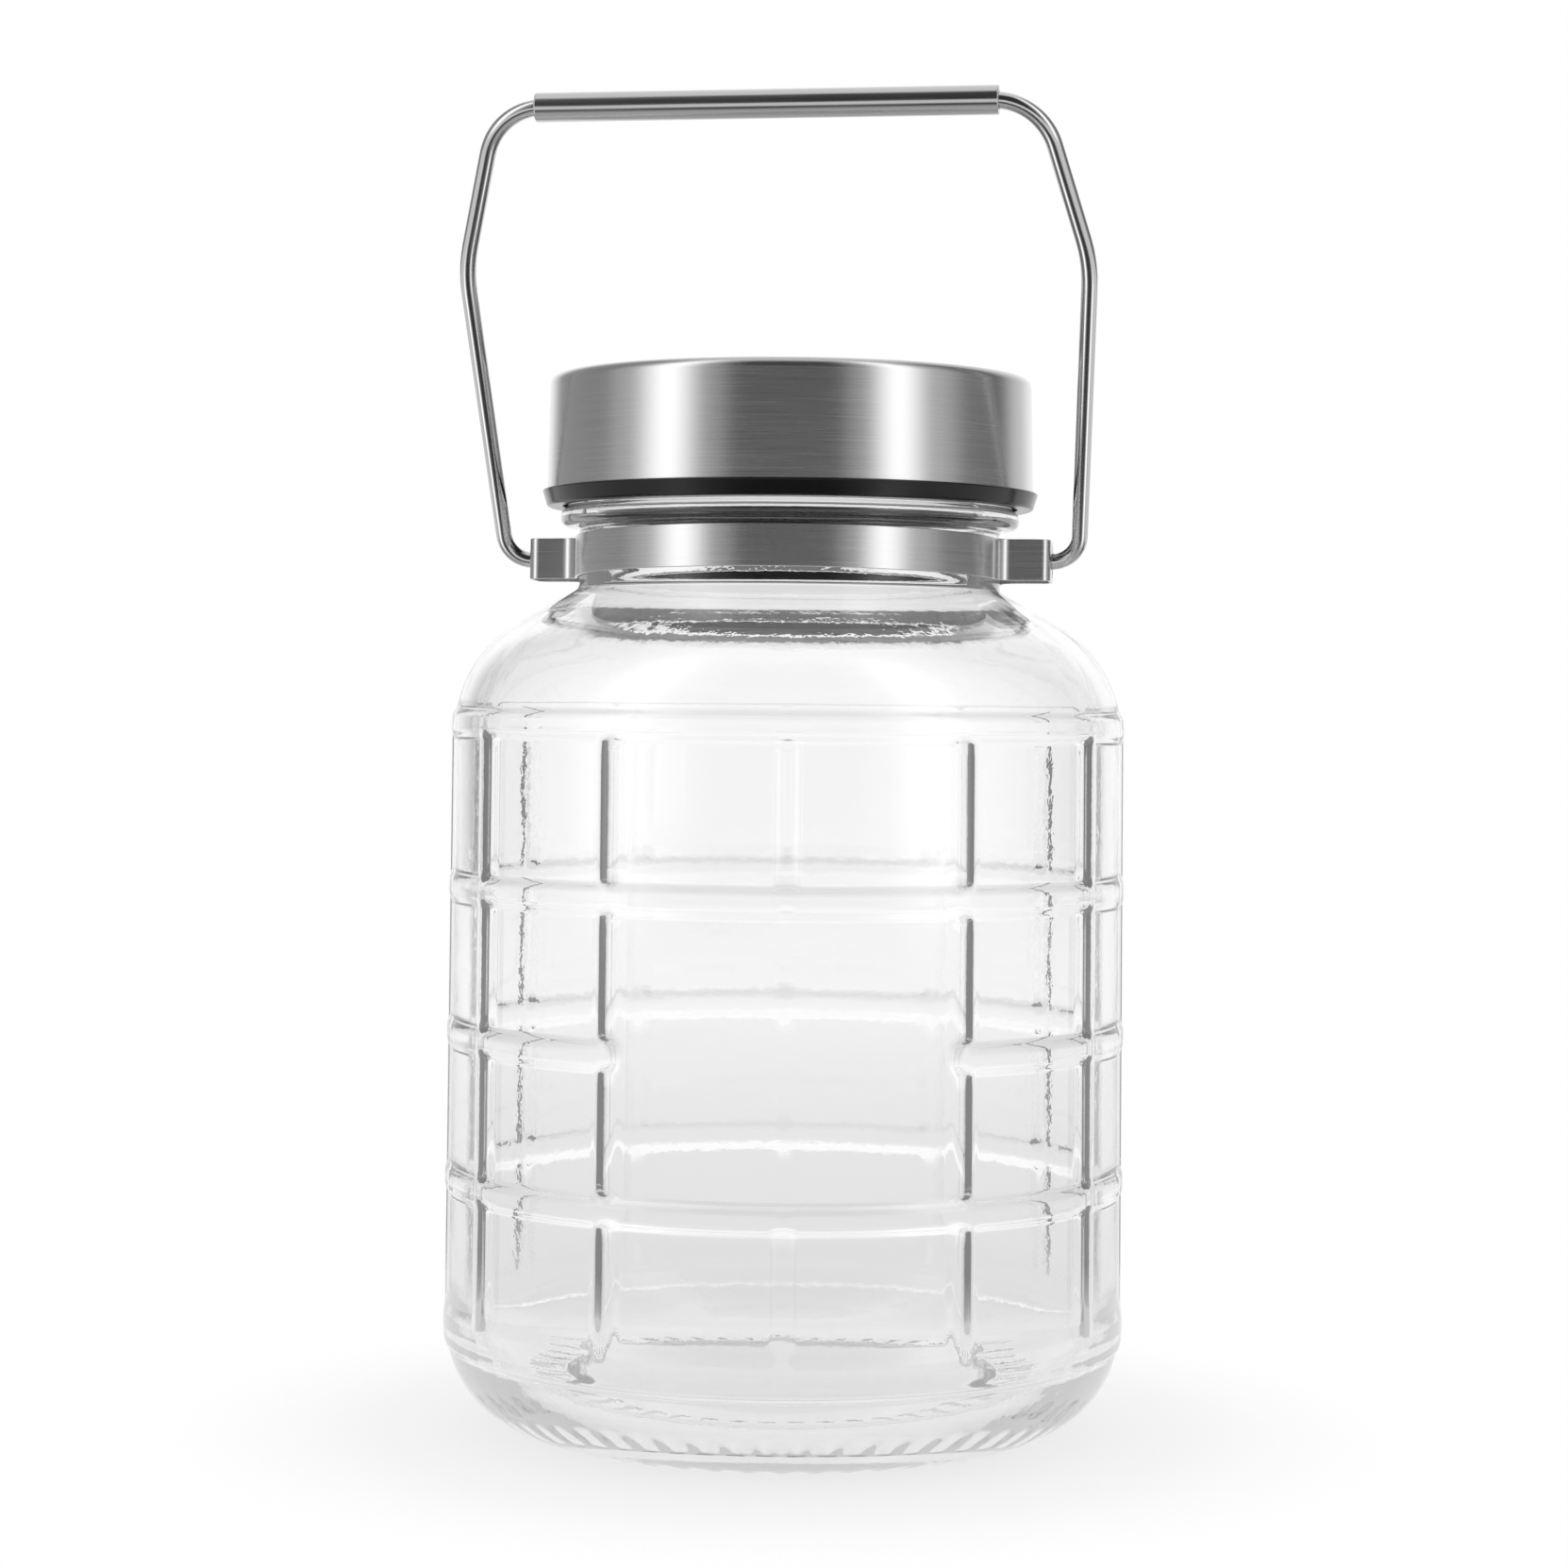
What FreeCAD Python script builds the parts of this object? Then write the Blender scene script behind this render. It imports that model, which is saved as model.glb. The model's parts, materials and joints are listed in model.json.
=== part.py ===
import FreeCAD, Part
import Sketcher
import math
import os
import re

# A ribbed glass storage jar with a brushed steel screw lid on a black liner, a steel strip
# clamped round its neck, and a steel wire bail with a tube grip that swings in the strip's
# two ears. Millimetres; +Z is up, the origin is the middle of the base on the jar's axis,
# and the plain label panel faces -Y.

Vector = FreeCAD.Vector
Rotation = FreeCAD.Rotation
X_AXIS, Y_AXIS, Z_AXIS = Vector(1, 0, 0), Vector(0, 1, 0), Vector(0, 0, 1)
TINY = 1e-4

SIZES = {
    # glass body
    "wall_radius_low": 67.8,        # plain wall, at the foot
    "wall_draw": 0.9,               # the wall narrows this much up to the shoulder corner
    "heel_radius": 20.6,            # round between foot and wall
    "pushup_height": 2.6,           # hollow under the base
    "foot_land": 2.7,               # flat ring that the jar stands on
    "pushup_slope": 3.0,            # width of the slope beside the hollow under the base
    "shoulder_radius": 25.0,        # round between wall and shoulder cone
    "shoulder_slope": 29.6,         # degrees from level
    "shoulder_top": 167.9,          # where the shoulder cone meets the neck
    "neck_radius": 42.3,
    "neck_fillet": 1.3,
    "glass_wall": 3.9,
    "glass_floor": 4.4,
    "heel_inside_radius": 16.0,
    "neck_wall": 3.5,
    # mouth
    "finish_step": 2.3,             # the mouth is this much wider than the neck
    "mouth_height": 27.0,
    "rim_round": 1.2,
    "rim_bevel": 1.0,
    "bead_rise": 1.4,               # bead under the lid, proud of the mouth
    "bead_radius": 1.6,
    # relief grid
    "rib_width": 5.6,
    "rib_rise": 0.7,
    "ring_1_drop": 26.9,            # the top ring hangs this far below the shoulder cone
    "ring_2_height": 108.5,
    "ring_3_height": 79.4,
    "ring_4_height": 50.4,
    "ring_5_drop": 1.1,             # the lowest ring lies this far below the heel round
    # grip notches under the foot
    "notch_radius": 1.3,
    "notch_depth": 0.35,
    "notch_inset": 1.0,             # how far the notches run in from the foot's outer edge
    # lid
    "liner_wall": 2.4,              # between the thread room and the lid
    "liner_show": 3.3,              # height of the liner that shows below the lid
    "flange_step": 0.05,            # the flange is this much wider than the lid at its foot
    "flange_flare": 1.05,           # and this much wider under the lid
    "flange_round": 0.7,
    "liner_gap": 1.0,               # room for the threads between mouth and liner
    "lid_height": 22.8,
    "lid_roof": 2.9,                # lid and liner together, above the rim
    "lid_draw": 0.5,                # the lid narrows this much up to its top
    "lid_sheet": 0.6,
    "lid_round": 1.2,
    "lid_play": 0.05,
    # neck strip
    "band_below": 1.9,              # neck left bare below the strip
    "band_height": 8.2,
    "band_above": 2.4,              # and above it
    "band_sheet": 0.6,
    "band_play": 0.25,
    "band_tilt": 1.8,               # degrees, front edge up
    "ear_length": 10.5,             # from the neck to the ear's end face
    "ear_width": 9.4,
    "ear_corner": 2.2,
    "ear_fillet": 3.2,
    # bail
    "bail_turn": 8.9,               # degrees about the jar's axis
    "bail_lean": 22.5,              # degrees from upright, towards the front
    "wire_radius": 1.6,
    "wire_bore_play": 0.08,
    "wire_inset": 3.2,              # how far the wire's ends reach into the ears
    "foot_out": 5.33,               # from the ear's end face to the leg's line
    "foot_bend": 5.6,
    "knee_out": 3.3,                # from there out to the knee
    "knee_rise": 61.0,
    "knee_bend": 30.0,
    "head_in": 5.52,                # and in to the head's corner
    "head_rise": 92.7,
    "head_bend": 12.0,
    "grip_wall": 1.0,
    "grip_bore_play": 0.2,
    "grip_margin": 15.72,           # straight and bent wire left bare beside the grip, both sides
}
# Sizes that follow from others: each is a sum of shares of the sizes named.
FITS = {
    "wall_radius_high": ((1, "wall_radius_low"), (-1, "wall_draw")),
    "pushup_radius": ((1, "wall_radius_low"), (-1, "heel_radius"), (-1, "foot_land"), (-1, "pushup_slope")),
    "finish_height": ((1, "shoulder_top"), (1, "band_below"), (1, "band_height"), (1, "band_above")),
    "finish_radius": ((1, "neck_radius"), (1, "finish_step")),
    "rim_height": ((1, "finish_height"), (1, "mouth_height")),
    "ring_1_height": ((1, "shoulder_top"), (-1, "ring_1_drop")),
    "ring_5_height": ((1, "heel_radius"), (-1, "ring_5_drop")),
    "lid_top": ((1, "rim_height"), (1, "lid_roof")),
    "lid_low": ((1, "lid_top"), (-1, "lid_height")),
    "liner_low": ((1, "lid_low"), (-1, "liner_show")),
    "lid_radius_low": ((1, "finish_radius"), (1, "liner_gap"), (1, "liner_wall"), (1, "lid_play"),
                       (1, "lid_sheet")),
    "lid_radius_high": ((1, "lid_radius_low"), (-1, "lid_draw")),
    "flange_low_radius": ((1, "lid_radius_low"), (1, "flange_step")),
    "flange_high_radius": ((1, "lid_radius_low"), (1, "flange_flare")),
    "pivot_height": ((1, "shoulder_top"), (1, "band_below"), (0.5, "band_height")),
    "ear_reach": ((1, "neck_radius"), (1, "ear_length")),
    "wire_end_reach": ((1, "ear_reach"), (-1, "wire_inset")),
    "foot_reach": ((1, "ear_reach"), (1, "foot_out")),
    "knee_reach": ((1, "foot_reach"), (1, "knee_out")),
    "head_reach": ((1, "foot_reach"), (-1, "head_in")),
    "grip_radius": ((1, "wire_radius"), (1, "grip_bore_play"), (1, "grip_wall")),
    "grip_length": ((2, "head_reach"), (-1, "grip_margin")),
}
SECTORS = 12                        # vertical ribs round the jar
NOTCHES = 52

doc = FreeCAD.newDocument("glass_storage_jar")
sheet = doc.addObject("Spreadsheet::Sheet", "sizes")
for row, (alias, number) in enumerate(SIZES.items(), start=1):
    sheet.set(f"A{row}", alias)
    sheet.set(f"B{row}", str(number))
    sheet.setAlias(f"B{row}", alias)
doc.recompute()


def size(alias):
    """A driving size, read from the sheet, or one that follows from others."""
    if alias in FITS:
        return sum(share * size(name) for share, name in FITS[alias])
    return float(sheet.get(alias))


def spelled(formula):
    """A formula with each size that follows from others written out in cells of the sheet."""
    def cell(found):
        if found[1] not in FITS:
            return found[0]
        return "(" + " + ".join(spelled(f"({share} * sizes.{name})") for share, name in FITS[found[1]]) + ")"
    return re.sub(r"sizes\.(\w+)", cell, formula)


def bind(target, formulas):
    """Bind properties of a document object to formulas of sheet cells."""
    for name, formula in formulas.items():
        target.setExpression(name, spelled(formula))


def wall_formula(height):
    """The plain wall's radius at a height, along its slight taper."""
    return (f"sizes.wall_radius_low + (sizes.wall_radius_high - sizes.wall_radius_low)"
            f" * {height} / sizes.shoulder_top")


def wall_radius(height):
    """The same taper as wall_formula, as a number."""
    low, high = size("wall_radius_low"), size("wall_radius_high")
    return low + (high - low) * height / size("shoulder_top")


def new_body(label):
    """An empty PartDesign body, named after its sub-part."""
    body = doc.addObject("PartDesign::Body", label)
    body.Label = label
    return body


def new_sketch(body, name, role):
    """A sketch on one of the body's origin planes."""
    sketch = body.newObject("Sketcher::SketchObject", name)
    plane = [face for face in body.Origin.OriginFeatures if face.Role == role][0]
    sketch.AttachmentSupport = [(plane, "")]
    sketch.MapMode = "FlatFace"
    return sketch


def outline(sketch, corners):
    """A closed polygon whose corners are pairs of sheet formulas; "0" lies on the axis."""
    count = len(corners)
    spots = [Vector(10 * math.cos(2 * math.pi * i / count), 10 * math.sin(2 * math.pi * i / count), 0)
             for i in range(count)]
    for i in range(count):
        sketch.addGeometry(Part.LineSegment(spots[i], spots[(i + 1) % count]), False)
    for i in range(count):
        sketch.addConstraint(Sketcher.Constraint("Coincident", i, 2, (i + 1) % count, 1))
    for i, pair in enumerate(corners):
        for kind, axis, spot, formula in (("DistanceX", -2, spots[i].x, pair[0]),
                                          ("DistanceY", -1, spots[i].y, pair[1])):
            if formula == "0":
                sketch.addConstraint(Sketcher.Constraint("PointOnObject", i, 1, axis))
            else:
                index = sketch.addConstraint(Sketcher.Constraint(kind, -1, 1, i, 1, spot))
                bind(sketch, {f"Constraints[{index}]": formula})


def turned(body, name, corners, kind="PartDesign::Revolution"):
    """Turn a polygon in the XZ plane about the jar's axis: a Revolution adds, a Groove cuts."""
    sketch = new_sketch(body, name + "_outline", "XZ_Plane")
    outline(sketch, corners)
    feature = body.newObject(kind, name)
    feature.Profile = sketch
    feature.ReferenceAxis = (sketch, ["V_Axis"])
    feature.Angle = 360
    doc.recompute()
    return feature


def round_edge(body, name, radius, height, formula):
    """Fillet the circular edge of the given radius and height about the jar's axis."""
    found = [f"Edge{i}" for i, edge in enumerate(body.Tip.Shape.Edges, start=1)
             if isinstance(edge.Curve, Part.Circle)
             and abs(edge.Curve.Radius - radius) < 0.02
             and abs(edge.Curve.Center.z - height) < 0.02]
    fillet = body.newObject("PartDesign::Fillet", name)
    fillet.Base = (fillet.BaseFeature, found)
    bind(fillet, {"Radius": formula})
    doc.recompute()
    return fillet


def polar(body, name, feature, count, angle):
    """Repeat a feature about the jar's axis."""
    pattern = body.newObject("PartDesign::PolarPattern", name)
    axis = [line for line in body.Origin.OriginFeatures if line.Role == "Z_Axis"][0]
    pattern.Originals = [feature]
    pattern.Axis = (axis, [""])
    pattern.Angle = angle
    pattern.Occurrences = count
    body.Tip = pattern
    doc.recompute()
    return pattern


# ---------------------------------------------------------------- glass jar
BUMP = "(sizes.rib_width ^ 2 / 4 + sizes.rib_rise ^ 2) / (2 * sizes.rib_rise)"
SHOULDER_CORNER = ("sizes.shoulder_top - (sizes.wall_radius_high - sizes.neck_radius)"
                   " * tan(sizes.shoulder_slope * 1 deg)")


# The shoulder's inner cone runs neck_wall below the outer one; it meets the wall and the bore here.
INNER_CONE = "sizes.shoulder_top - sizes.neck_wall / cos(sizes.shoulder_slope * 1 deg)"
INNER_CORNER = (f"{INNER_CONE} - (sizes.wall_radius_high - sizes.glass_wall - sizes.neck_radius)"
                " * tan(sizes.shoulder_slope * 1 deg)")
BORE_FOOT = f"{INNER_CONE} + sizes.neck_wall * tan(sizes.shoulder_slope * 1 deg)"


def shoulder_rate():
    """Rise of the shoulder cone per millimetre of radius."""
    return math.tan(math.radians(size("shoulder_slope")))


def bump_radius():
    """Radius of the circle whose cap is rib_width wide and rib_rise high."""
    return (size("rib_width") ** 2 / 4 + size("rib_rise") ** 2) / (2 * size("rib_rise"))


def add_ring(body, number, angle, turn):
    """A horizontal ring: the cap of a torus sunk in the wall."""
    cell = f"ring_{number}_height"
    ring = body.newObject("PartDesign::AdditiveTorus", f"ring_{number}")
    bind(ring, {"Radius1": f"{wall_formula('sizes.' + cell)} + sizes.rib_rise - {BUMP}", "Radius2": BUMP})
    ring.Angle1, ring.Angle2, ring.Angle3 = -180, 180, angle
    ring.Placement = FreeCAD.Placement(Vector(0, 0, size(cell)), Rotation(Z_AXIS, turn))
    doc.recompute()


def add_rib(body, name, upper, lower, azimuth):
    """A vertical rib between two rings: the cap of a cylinder sunk in the tapering wall."""
    low, high = size(f"ring_{lower}_height"), size(f"ring_{upper}_height")
    sink = size("rib_rise") - bump_radius()
    foot, head = wall_radius(low) + sink, wall_radius(high) + sink
    rib = body.newObject("PartDesign::AdditiveCylinder", name)
    rib.Height = math.hypot(high - low, head - foot)
    bind(rib, {"Radius": BUMP})
    lean = math.degrees(math.atan2(head - foot, high - low))
    turn = Rotation(Z_AXIS, azimuth)
    rib.Placement = FreeCAD.Placement(turn.multVec(Vector(foot, 0, low)), turn * Rotation(Y_AXIS, lean))
    doc.recompute()
    return rib


def make_jar_blank():
    """The jar's outside as a full solid: turned blank, relief grid, bead and notched foot."""
    body = new_body("jar_blank")
    turned(body, "blank", [
        ("0", "sizes.pushup_height"),
        ("sizes.pushup_radius", "sizes.pushup_height"),
        ("sizes.pushup_radius + sizes.pushup_slope", "0"),
        ("sizes.wall_radius_low", "0"),
        ("sizes.wall_radius_high", SHOULDER_CORNER),
        ("sizes.neck_radius", "sizes.shoulder_top"),
        ("sizes.neck_radius", "sizes.finish_height"),
        ("sizes.finish_radius", "sizes.finish_height"),
        ("sizes.finish_radius", "sizes.rim_height"),
        ("0", "sizes.rim_height"),
    ])
    corner = size("shoulder_top") - (size("wall_radius_high") - size("neck_radius")) * shoulder_rate()
    round_edge(body, "heel", size("wall_radius_low"), 0, "sizes.heel_radius")
    round_edge(body, "shoulder", size("wall_radius_high"), corner, "sizes.shoulder_radius")
    round_edge(body, "neck_foot", size("neck_radius"), size("shoulder_top"), "sizes.neck_fillet")
    round_edge(body, "rim_outside", size("finish_radius"), size("rim_height"), "sizes.rim_round")

    sector = 360 / SECTORS
    front = -90
    for number in (1, 2, 4, 5):
        add_ring(body, number, 360, 0)
    add_ring(body, 3, 360 - 2 * sector, front + sector)
    rib = add_rib(body, "rib", 1, 5, front + sector)
    polar(body, "ribs", rib, SECTORS - 1, 360 - 2 * sector)
    add_rib(body, "front_rib_upper", 1, 2, front)
    add_rib(body, "front_rib_lower", 4, 5, front)

    bead = body.newObject("PartDesign::AdditiveTorus", "bead")
    bind(bead, {"Radius1": "sizes.finish_radius + sizes.bead_rise - sizes.bead_radius",
                "Radius2": "sizes.bead_radius"})
    bead.Placement.Base = Vector(0, 0, size("finish_height") + size("bead_radius") / 2)
    doc.recompute()

    notch = body.newObject("PartDesign::SubtractiveCylinder", "notch")
    bind(notch, {"Radius": "sizes.notch_radius", "Height": "sizes.heel_radius"})
    foot = size("wall_radius_low") - size("heel_radius")
    notch.Placement = FreeCAD.Placement(
        Vector(foot - size("notch_inset"), 0, size("notch_depth") - size("notch_radius")),
        Rotation(Y_AXIS, 90))
    doc.recompute()
    polar(body, "notches", notch, NOTCHES, 360)
    return body


def make_jar_hollow():
    """The space inside the jar, up through the mouth, with a bevel at the rim."""
    body = new_body("jar_hollow")
    turned(body, "space", [
        ("0", "sizes.pushup_height + sizes.glass_floor"),
        ("sizes.wall_radius_low - sizes.glass_wall", "sizes.pushup_height + sizes.glass_floor"),
        ("sizes.wall_radius_high - sizes.glass_wall", INNER_CORNER),
        ("sizes.neck_radius - sizes.neck_wall", BORE_FOOT),
        ("sizes.neck_radius - sizes.neck_wall", "sizes.rim_height - sizes.rim_bevel"),
        ("sizes.neck_radius - sizes.neck_wall + sizes.rim_bevel", "sizes.rim_height"),
        ("0", "sizes.rim_height"),
    ])
    secant = math.sqrt(1 + shoulder_rate() ** 2)
    cone_top = size("shoulder_top") - size("neck_wall") * secant
    inside_low = size("wall_radius_low") - size("glass_wall")
    inside_high = size("wall_radius_high") - size("glass_wall")
    corner = cone_top - (inside_high - size("neck_radius")) * shoulder_rate()
    bore_foot = cone_top + size("neck_wall") * shoulder_rate()
    round_edge(body, "heel_inside", inside_low, size("pushup_height") + size("glass_floor"),
               "sizes.heel_inside_radius")
    round_edge(body, "shoulder_inside", inside_high, corner, "sizes.shoulder_radius - sizes.glass_wall")
    round_edge(body, "neck_inside", size("neck_radius") - size("neck_wall"), bore_foot,
               "sizes.neck_fillet + sizes.neck_wall")
    return body


def make_glass_jar():
    """The jar: the relief blank less the space inside it."""
    jar = doc.addObject("Part::Cut", "glass_jar")
    jar.Label = "glass_jar"
    jar.Base, jar.Tool = make_jar_blank(), make_jar_hollow()
    doc.recompute()
    return jar


# ---------------------------------------------------------------- lid
def make_lid_shell():
    """The steel cap: a drawn cup with slightly drawn-in sides."""
    body = new_body("lid_shell")
    turned(body, "cup", [
        ("0", "sizes.lid_top"),
        ("sizes.lid_radius_high", "sizes.lid_top"),
        ("sizes.lid_radius_low", "sizes.lid_low"),
        ("sizes.lid_radius_low - sizes.lid_sheet", "sizes.lid_low"),
        ("sizes.lid_radius_high - sizes.lid_sheet", "sizes.lid_top - sizes.lid_sheet"),
        ("0", "sizes.lid_top - sizes.lid_sheet"),
    ])
    round_edge(body, "corner_outside", size("lid_radius_high"), size("lid_top"), "sizes.lid_round")
    round_edge(body, "corner_inside", size("lid_radius_high") - size("lid_sheet"),
               size("lid_top") - size("lid_sheet"), "sizes.lid_round - sizes.lid_sheet")
    return body


def make_lid_liner():
    """The black liner: it fills the cap, shuts on the rim and flares out below the steel."""
    body = new_body("lid_liner")
    turned(body, "insert", [
        ("0", "sizes.rim_height"),
        ("sizes.finish_radius + sizes.liner_gap", "sizes.rim_height"),
        ("sizes.finish_radius + sizes.liner_gap", "sizes.liner_low"),
        ("sizes.flange_low_radius", "sizes.liner_low"),
        ("sizes.flange_high_radius", "sizes.lid_low"),
        ("sizes.lid_radius_low - sizes.lid_sheet - sizes.lid_play", "sizes.lid_low"),
        ("sizes.lid_radius_high - sizes.lid_sheet - sizes.lid_play", "sizes.lid_top - sizes.lid_sheet"),
        ("0", "sizes.lid_top - sizes.lid_sheet"),
    ])
    round_edge(body, "corner", size("lid_radius_high") - size("lid_sheet") - size("lid_play"),
               size("lid_top") - size("lid_sheet"), "sizes.lid_round")
    round_edge(body, "lip", size("flange_low_radius"), size("liner_low"), "sizes.flange_round")
    return body


# ---------------------------------------------------------------- neck strip
def upright_edges(shape, reach):
    """Split a plan shape's upright edges into outer corners and the corners at the neck."""
    corners, roots = [], []
    for i, edge in enumerate(shape.Edges, start=1):
        ends = [vertex.Point for vertex in edge.Vertexes]
        upright = len(ends) == 2 and (ends[1] - ends[0]).cross(Z_AXIS).Length < TINY
        if not upright or not isinstance(edge.Curve, Part.Line):
            continue
        away = abs(ends[0].x)
        if abs(away - reach) < TINY:
            corners.append(i)
        elif abs(ends[0].y) > TINY:
            roots.append(i)
    return corners, roots


def strip_block(name, inset, height):
    """A solid disc with two square ears, rounded in plan; inset steps in from the outer face."""
    disc = doc.addObject("Part::Cylinder", name + "_disc")
    bind(disc, {"Radius": f"sizes.neck_radius + sizes.band_play + sizes.band_sheet - {inset}",
                "Height": height})
    bar = doc.addObject("Part::Box", name + "_bar")
    bind(bar, {"Length": f"2 * (sizes.ear_reach - {inset})", "Width": f"sizes.ear_width - 2 * {inset}",
               "Height": height, "Placement.Base.x": f"{inset} - sizes.ear_reach",
               "Placement.Base.y": f"{inset} - sizes.ear_width / 2"})
    both = doc.addObject("Part::MultiFuse", name + "_plan")
    both.Shapes = [disc, bar]
    doc.recompute()
    step = size("band_sheet") if "band_sheet" in inset else 0
    corners, roots = upright_edges(both.Shape, size("ear_reach") - step)
    rounded = doc.addObject("Part::Fillet", name)
    rounded.Base = both
    outside, inside = size("ear_corner") - step, size("ear_fillet") + step
    rounded.Edges = ([(i, outside, outside) for i in corners] + [(i, inside, inside) for i in roots])
    doc.recompute()
    return rounded


def make_neck_band():
    """The steel strip round the neck, bent out into two hollow ears that hold the bail."""
    outer = strip_block("strip_outside", "0", "sizes.band_height")
    inner = strip_block("strip_inside", "sizes.band_sheet", "sizes.band_height")
    ring = doc.addObject("Part::Cut", "strip_ring")
    ring.Base, ring.Tool = outer, inner
    bore = doc.addObject("Part::Cylinder", "ear_bores")
    bind(bore, {"Radius": "sizes.wire_radius + sizes.wire_bore_play", "Height": "2 * sizes.ear_reach + 2"})
    bore.Placement = FreeCAD.Placement(Vector(-size("ear_reach") - 1, 0, size("band_height") / 2),
                                       Rotation(Y_AXIS, 90))
    band = doc.addObject("Part::Cut", "neck_band")
    band.Base, band.Tool = ring, bore
    band.Label = "neck_band"
    turn = Rotation(Z_AXIS, -size("bail_turn")) * Rotation(X_AXIS, -size("band_tilt"))
    middle = turn.multVec(Vector(0, 0, -size("band_height") / 2))
    band.Placement = FreeCAD.Placement(middle + Vector(0, 0, size("pivot_height")), turn)
    doc.recompute()
    return band


# ---------------------------------------------------------------- bail
def rounded_path(points, radii):
    """Straight runs through the points, joined at each inner point by a tangent arc."""
    pieces = []
    start = points[0]
    for before, point, after, radius in zip(points, points[1:], points[2:], radii):
        back, ahead = (before - point).normalize(), (after - point).normalize()
        half = back.getAngle(ahead) / 2
        reach = radius / math.tan(half)
        first, last = point + back * reach, point + ahead * reach
        middle = point + (back + ahead).normalize() * (radius / math.sin(half) - radius)
        pieces.append(Part.LineSegment(start, first))
        pieces.append(Part.Arc(first, middle, last))
        start = last
    pieces.append(Part.LineSegment(start, points[-1]))
    return pieces


def bail_placement():
    """The bail's place: on the pivot, turned with the ears and leaning to the front."""
    turn = Rotation(Z_AXIS, -size("bail_turn")) * Rotation(X_AXIS, size("bail_lean"))
    return FreeCAD.Placement(Vector(0, 0, size("pivot_height")), turn)


def make_handle_wire():
    """The bail: round wire from ear to ear, with a soft knee in each leg."""
    body = new_body("handle_wire")
    spots = [(size("wire_end_reach"), 0), (size("foot_reach"), 0), (size("knee_reach"), size("knee_rise")),
             (size("head_reach"), size("head_rise"))]
    bends = ["foot_bend", "knee_bend", "head_bend"]
    bends += bends[::-1]
    points = [Vector(x, z, 0) for x, z in spots] + [Vector(-x, z, 0) for x, z in reversed(spots)]
    spine = new_sketch(body, "bail_path", "XZ_Plane")
    pieces = rounded_path(points, [size(bend) for bend in bends])
    spine.addGeometry(pieces, False)
    for i in range(len(pieces) - 1):
        spine.addConstraint(Sketcher.Constraint("Tangent", i, 2, i + 1, 1))
    for i, bend in enumerate(bends):
        index = spine.addConstraint(Sketcher.Constraint("Radius", 2 * i + 1, size(bend)))
        bind(spine, {f"Constraints[{index}]": f"sizes.{bend}"})
    section = new_sketch(body, "wire_section", "YZ_Plane")
    section.AttachmentOffset = FreeCAD.Placement(Vector(0, 0, size("wire_end_reach")), Rotation())
    section.addGeometry(Part.Circle(Vector(0, 0, 0), Z_AXIS, size("wire_radius")), False)
    section.addConstraint(Sketcher.Constraint("Coincident", 0, 3, -1, 1))
    index = section.addConstraint(Sketcher.Constraint("Radius", 0, size("wire_radius")))
    bind(section, {f"Constraints[{index}]": "sizes.wire_radius"})
    doc.recompute()
    wire = body.newObject("PartDesign::AdditivePipe", "wire")
    wire.Profile = section
    wire.Spine = (spine, [f"Edge{i}" for i in range(1, len(pieces) + 1)])
    doc.recompute()
    body.Placement = bail_placement()
    return body


def make_handle_grip():
    """The grip: a steel tube threaded on the bail's straight top run."""
    body = new_body("handle_grip")
    section = new_sketch(body, "tube_section", "YZ_Plane")
    for index, formula in enumerate(("sizes.grip_radius", "sizes.wire_radius + sizes.grip_bore_play")):
        section.addGeometry(Part.Circle(Vector(0, size("head_rise"), 0), Z_AXIS, 1 + index), False)
        section.addConstraint(Sketcher.Constraint("PointOnObject", index, 3, -2))
        rise = section.addConstraint(Sketcher.Constraint("DistanceY", -1, 1, index, 3, size("head_rise")))
        radius = section.addConstraint(Sketcher.Constraint("Radius", index, 1 + index))
        bind(section, {f"Constraints[{rise}]": "sizes.head_rise"})
        bind(section, {f"Constraints[{radius}]": formula})
    tube = body.newObject("PartDesign::Pad", "tube")
    tube.Profile = section
    tube.Midplane = True
    bind(tube, {"Length": "sizes.grip_length"})
    doc.recompute()
    body.Placement = bail_placement()
    return body


def write_parts(parts):
    """Check every object of the document, then write one STEP file for each sub-part."""
    doc.recompute()
    for thing in doc.Objects:
        if "Invalid" in thing.State or "Error" in thing.State:
            raise RuntimeError(f"{thing.Name} failed: {thing.State}")
    os.makedirs("parts", exist_ok=True)
    for part in parts:
        shape = part.Shape
        if shape.isNull() or not shape.isValid() or not shape.Solids:
            raise RuntimeError(f"{part.Label} has no valid solid")
        shape.exportStep(f"parts/{part.Label}.step")
        print(f"{part.Label}: {len(shape.Solids)} solid, {shape.Volume / 1000:.2f} cm3, {shape.BoundBox}")


write_parts([make_glass_jar(), make_lid_shell(), make_lid_liner(), make_neck_band(), make_handle_wire(),
             make_handle_grip()])
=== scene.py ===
"""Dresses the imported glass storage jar: pressed glass, brushed steel lid, strip, bail and grip.

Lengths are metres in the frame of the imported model: +Z up, the origin in the middle of the base,
the plain label panel facing -Y.
"""
import json
import logging
import math
from dataclasses import dataclass, field
from enum import Enum
from functools import partial
from typing import Any, Callable, Sequence

import bmesh
import bpy
from bmesh.types import BMVert
from bpy.types import Material, Node, NodeOutputs, NodeSocket, NodeTree, Object
from mathutils import Matrix, Vector


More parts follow.
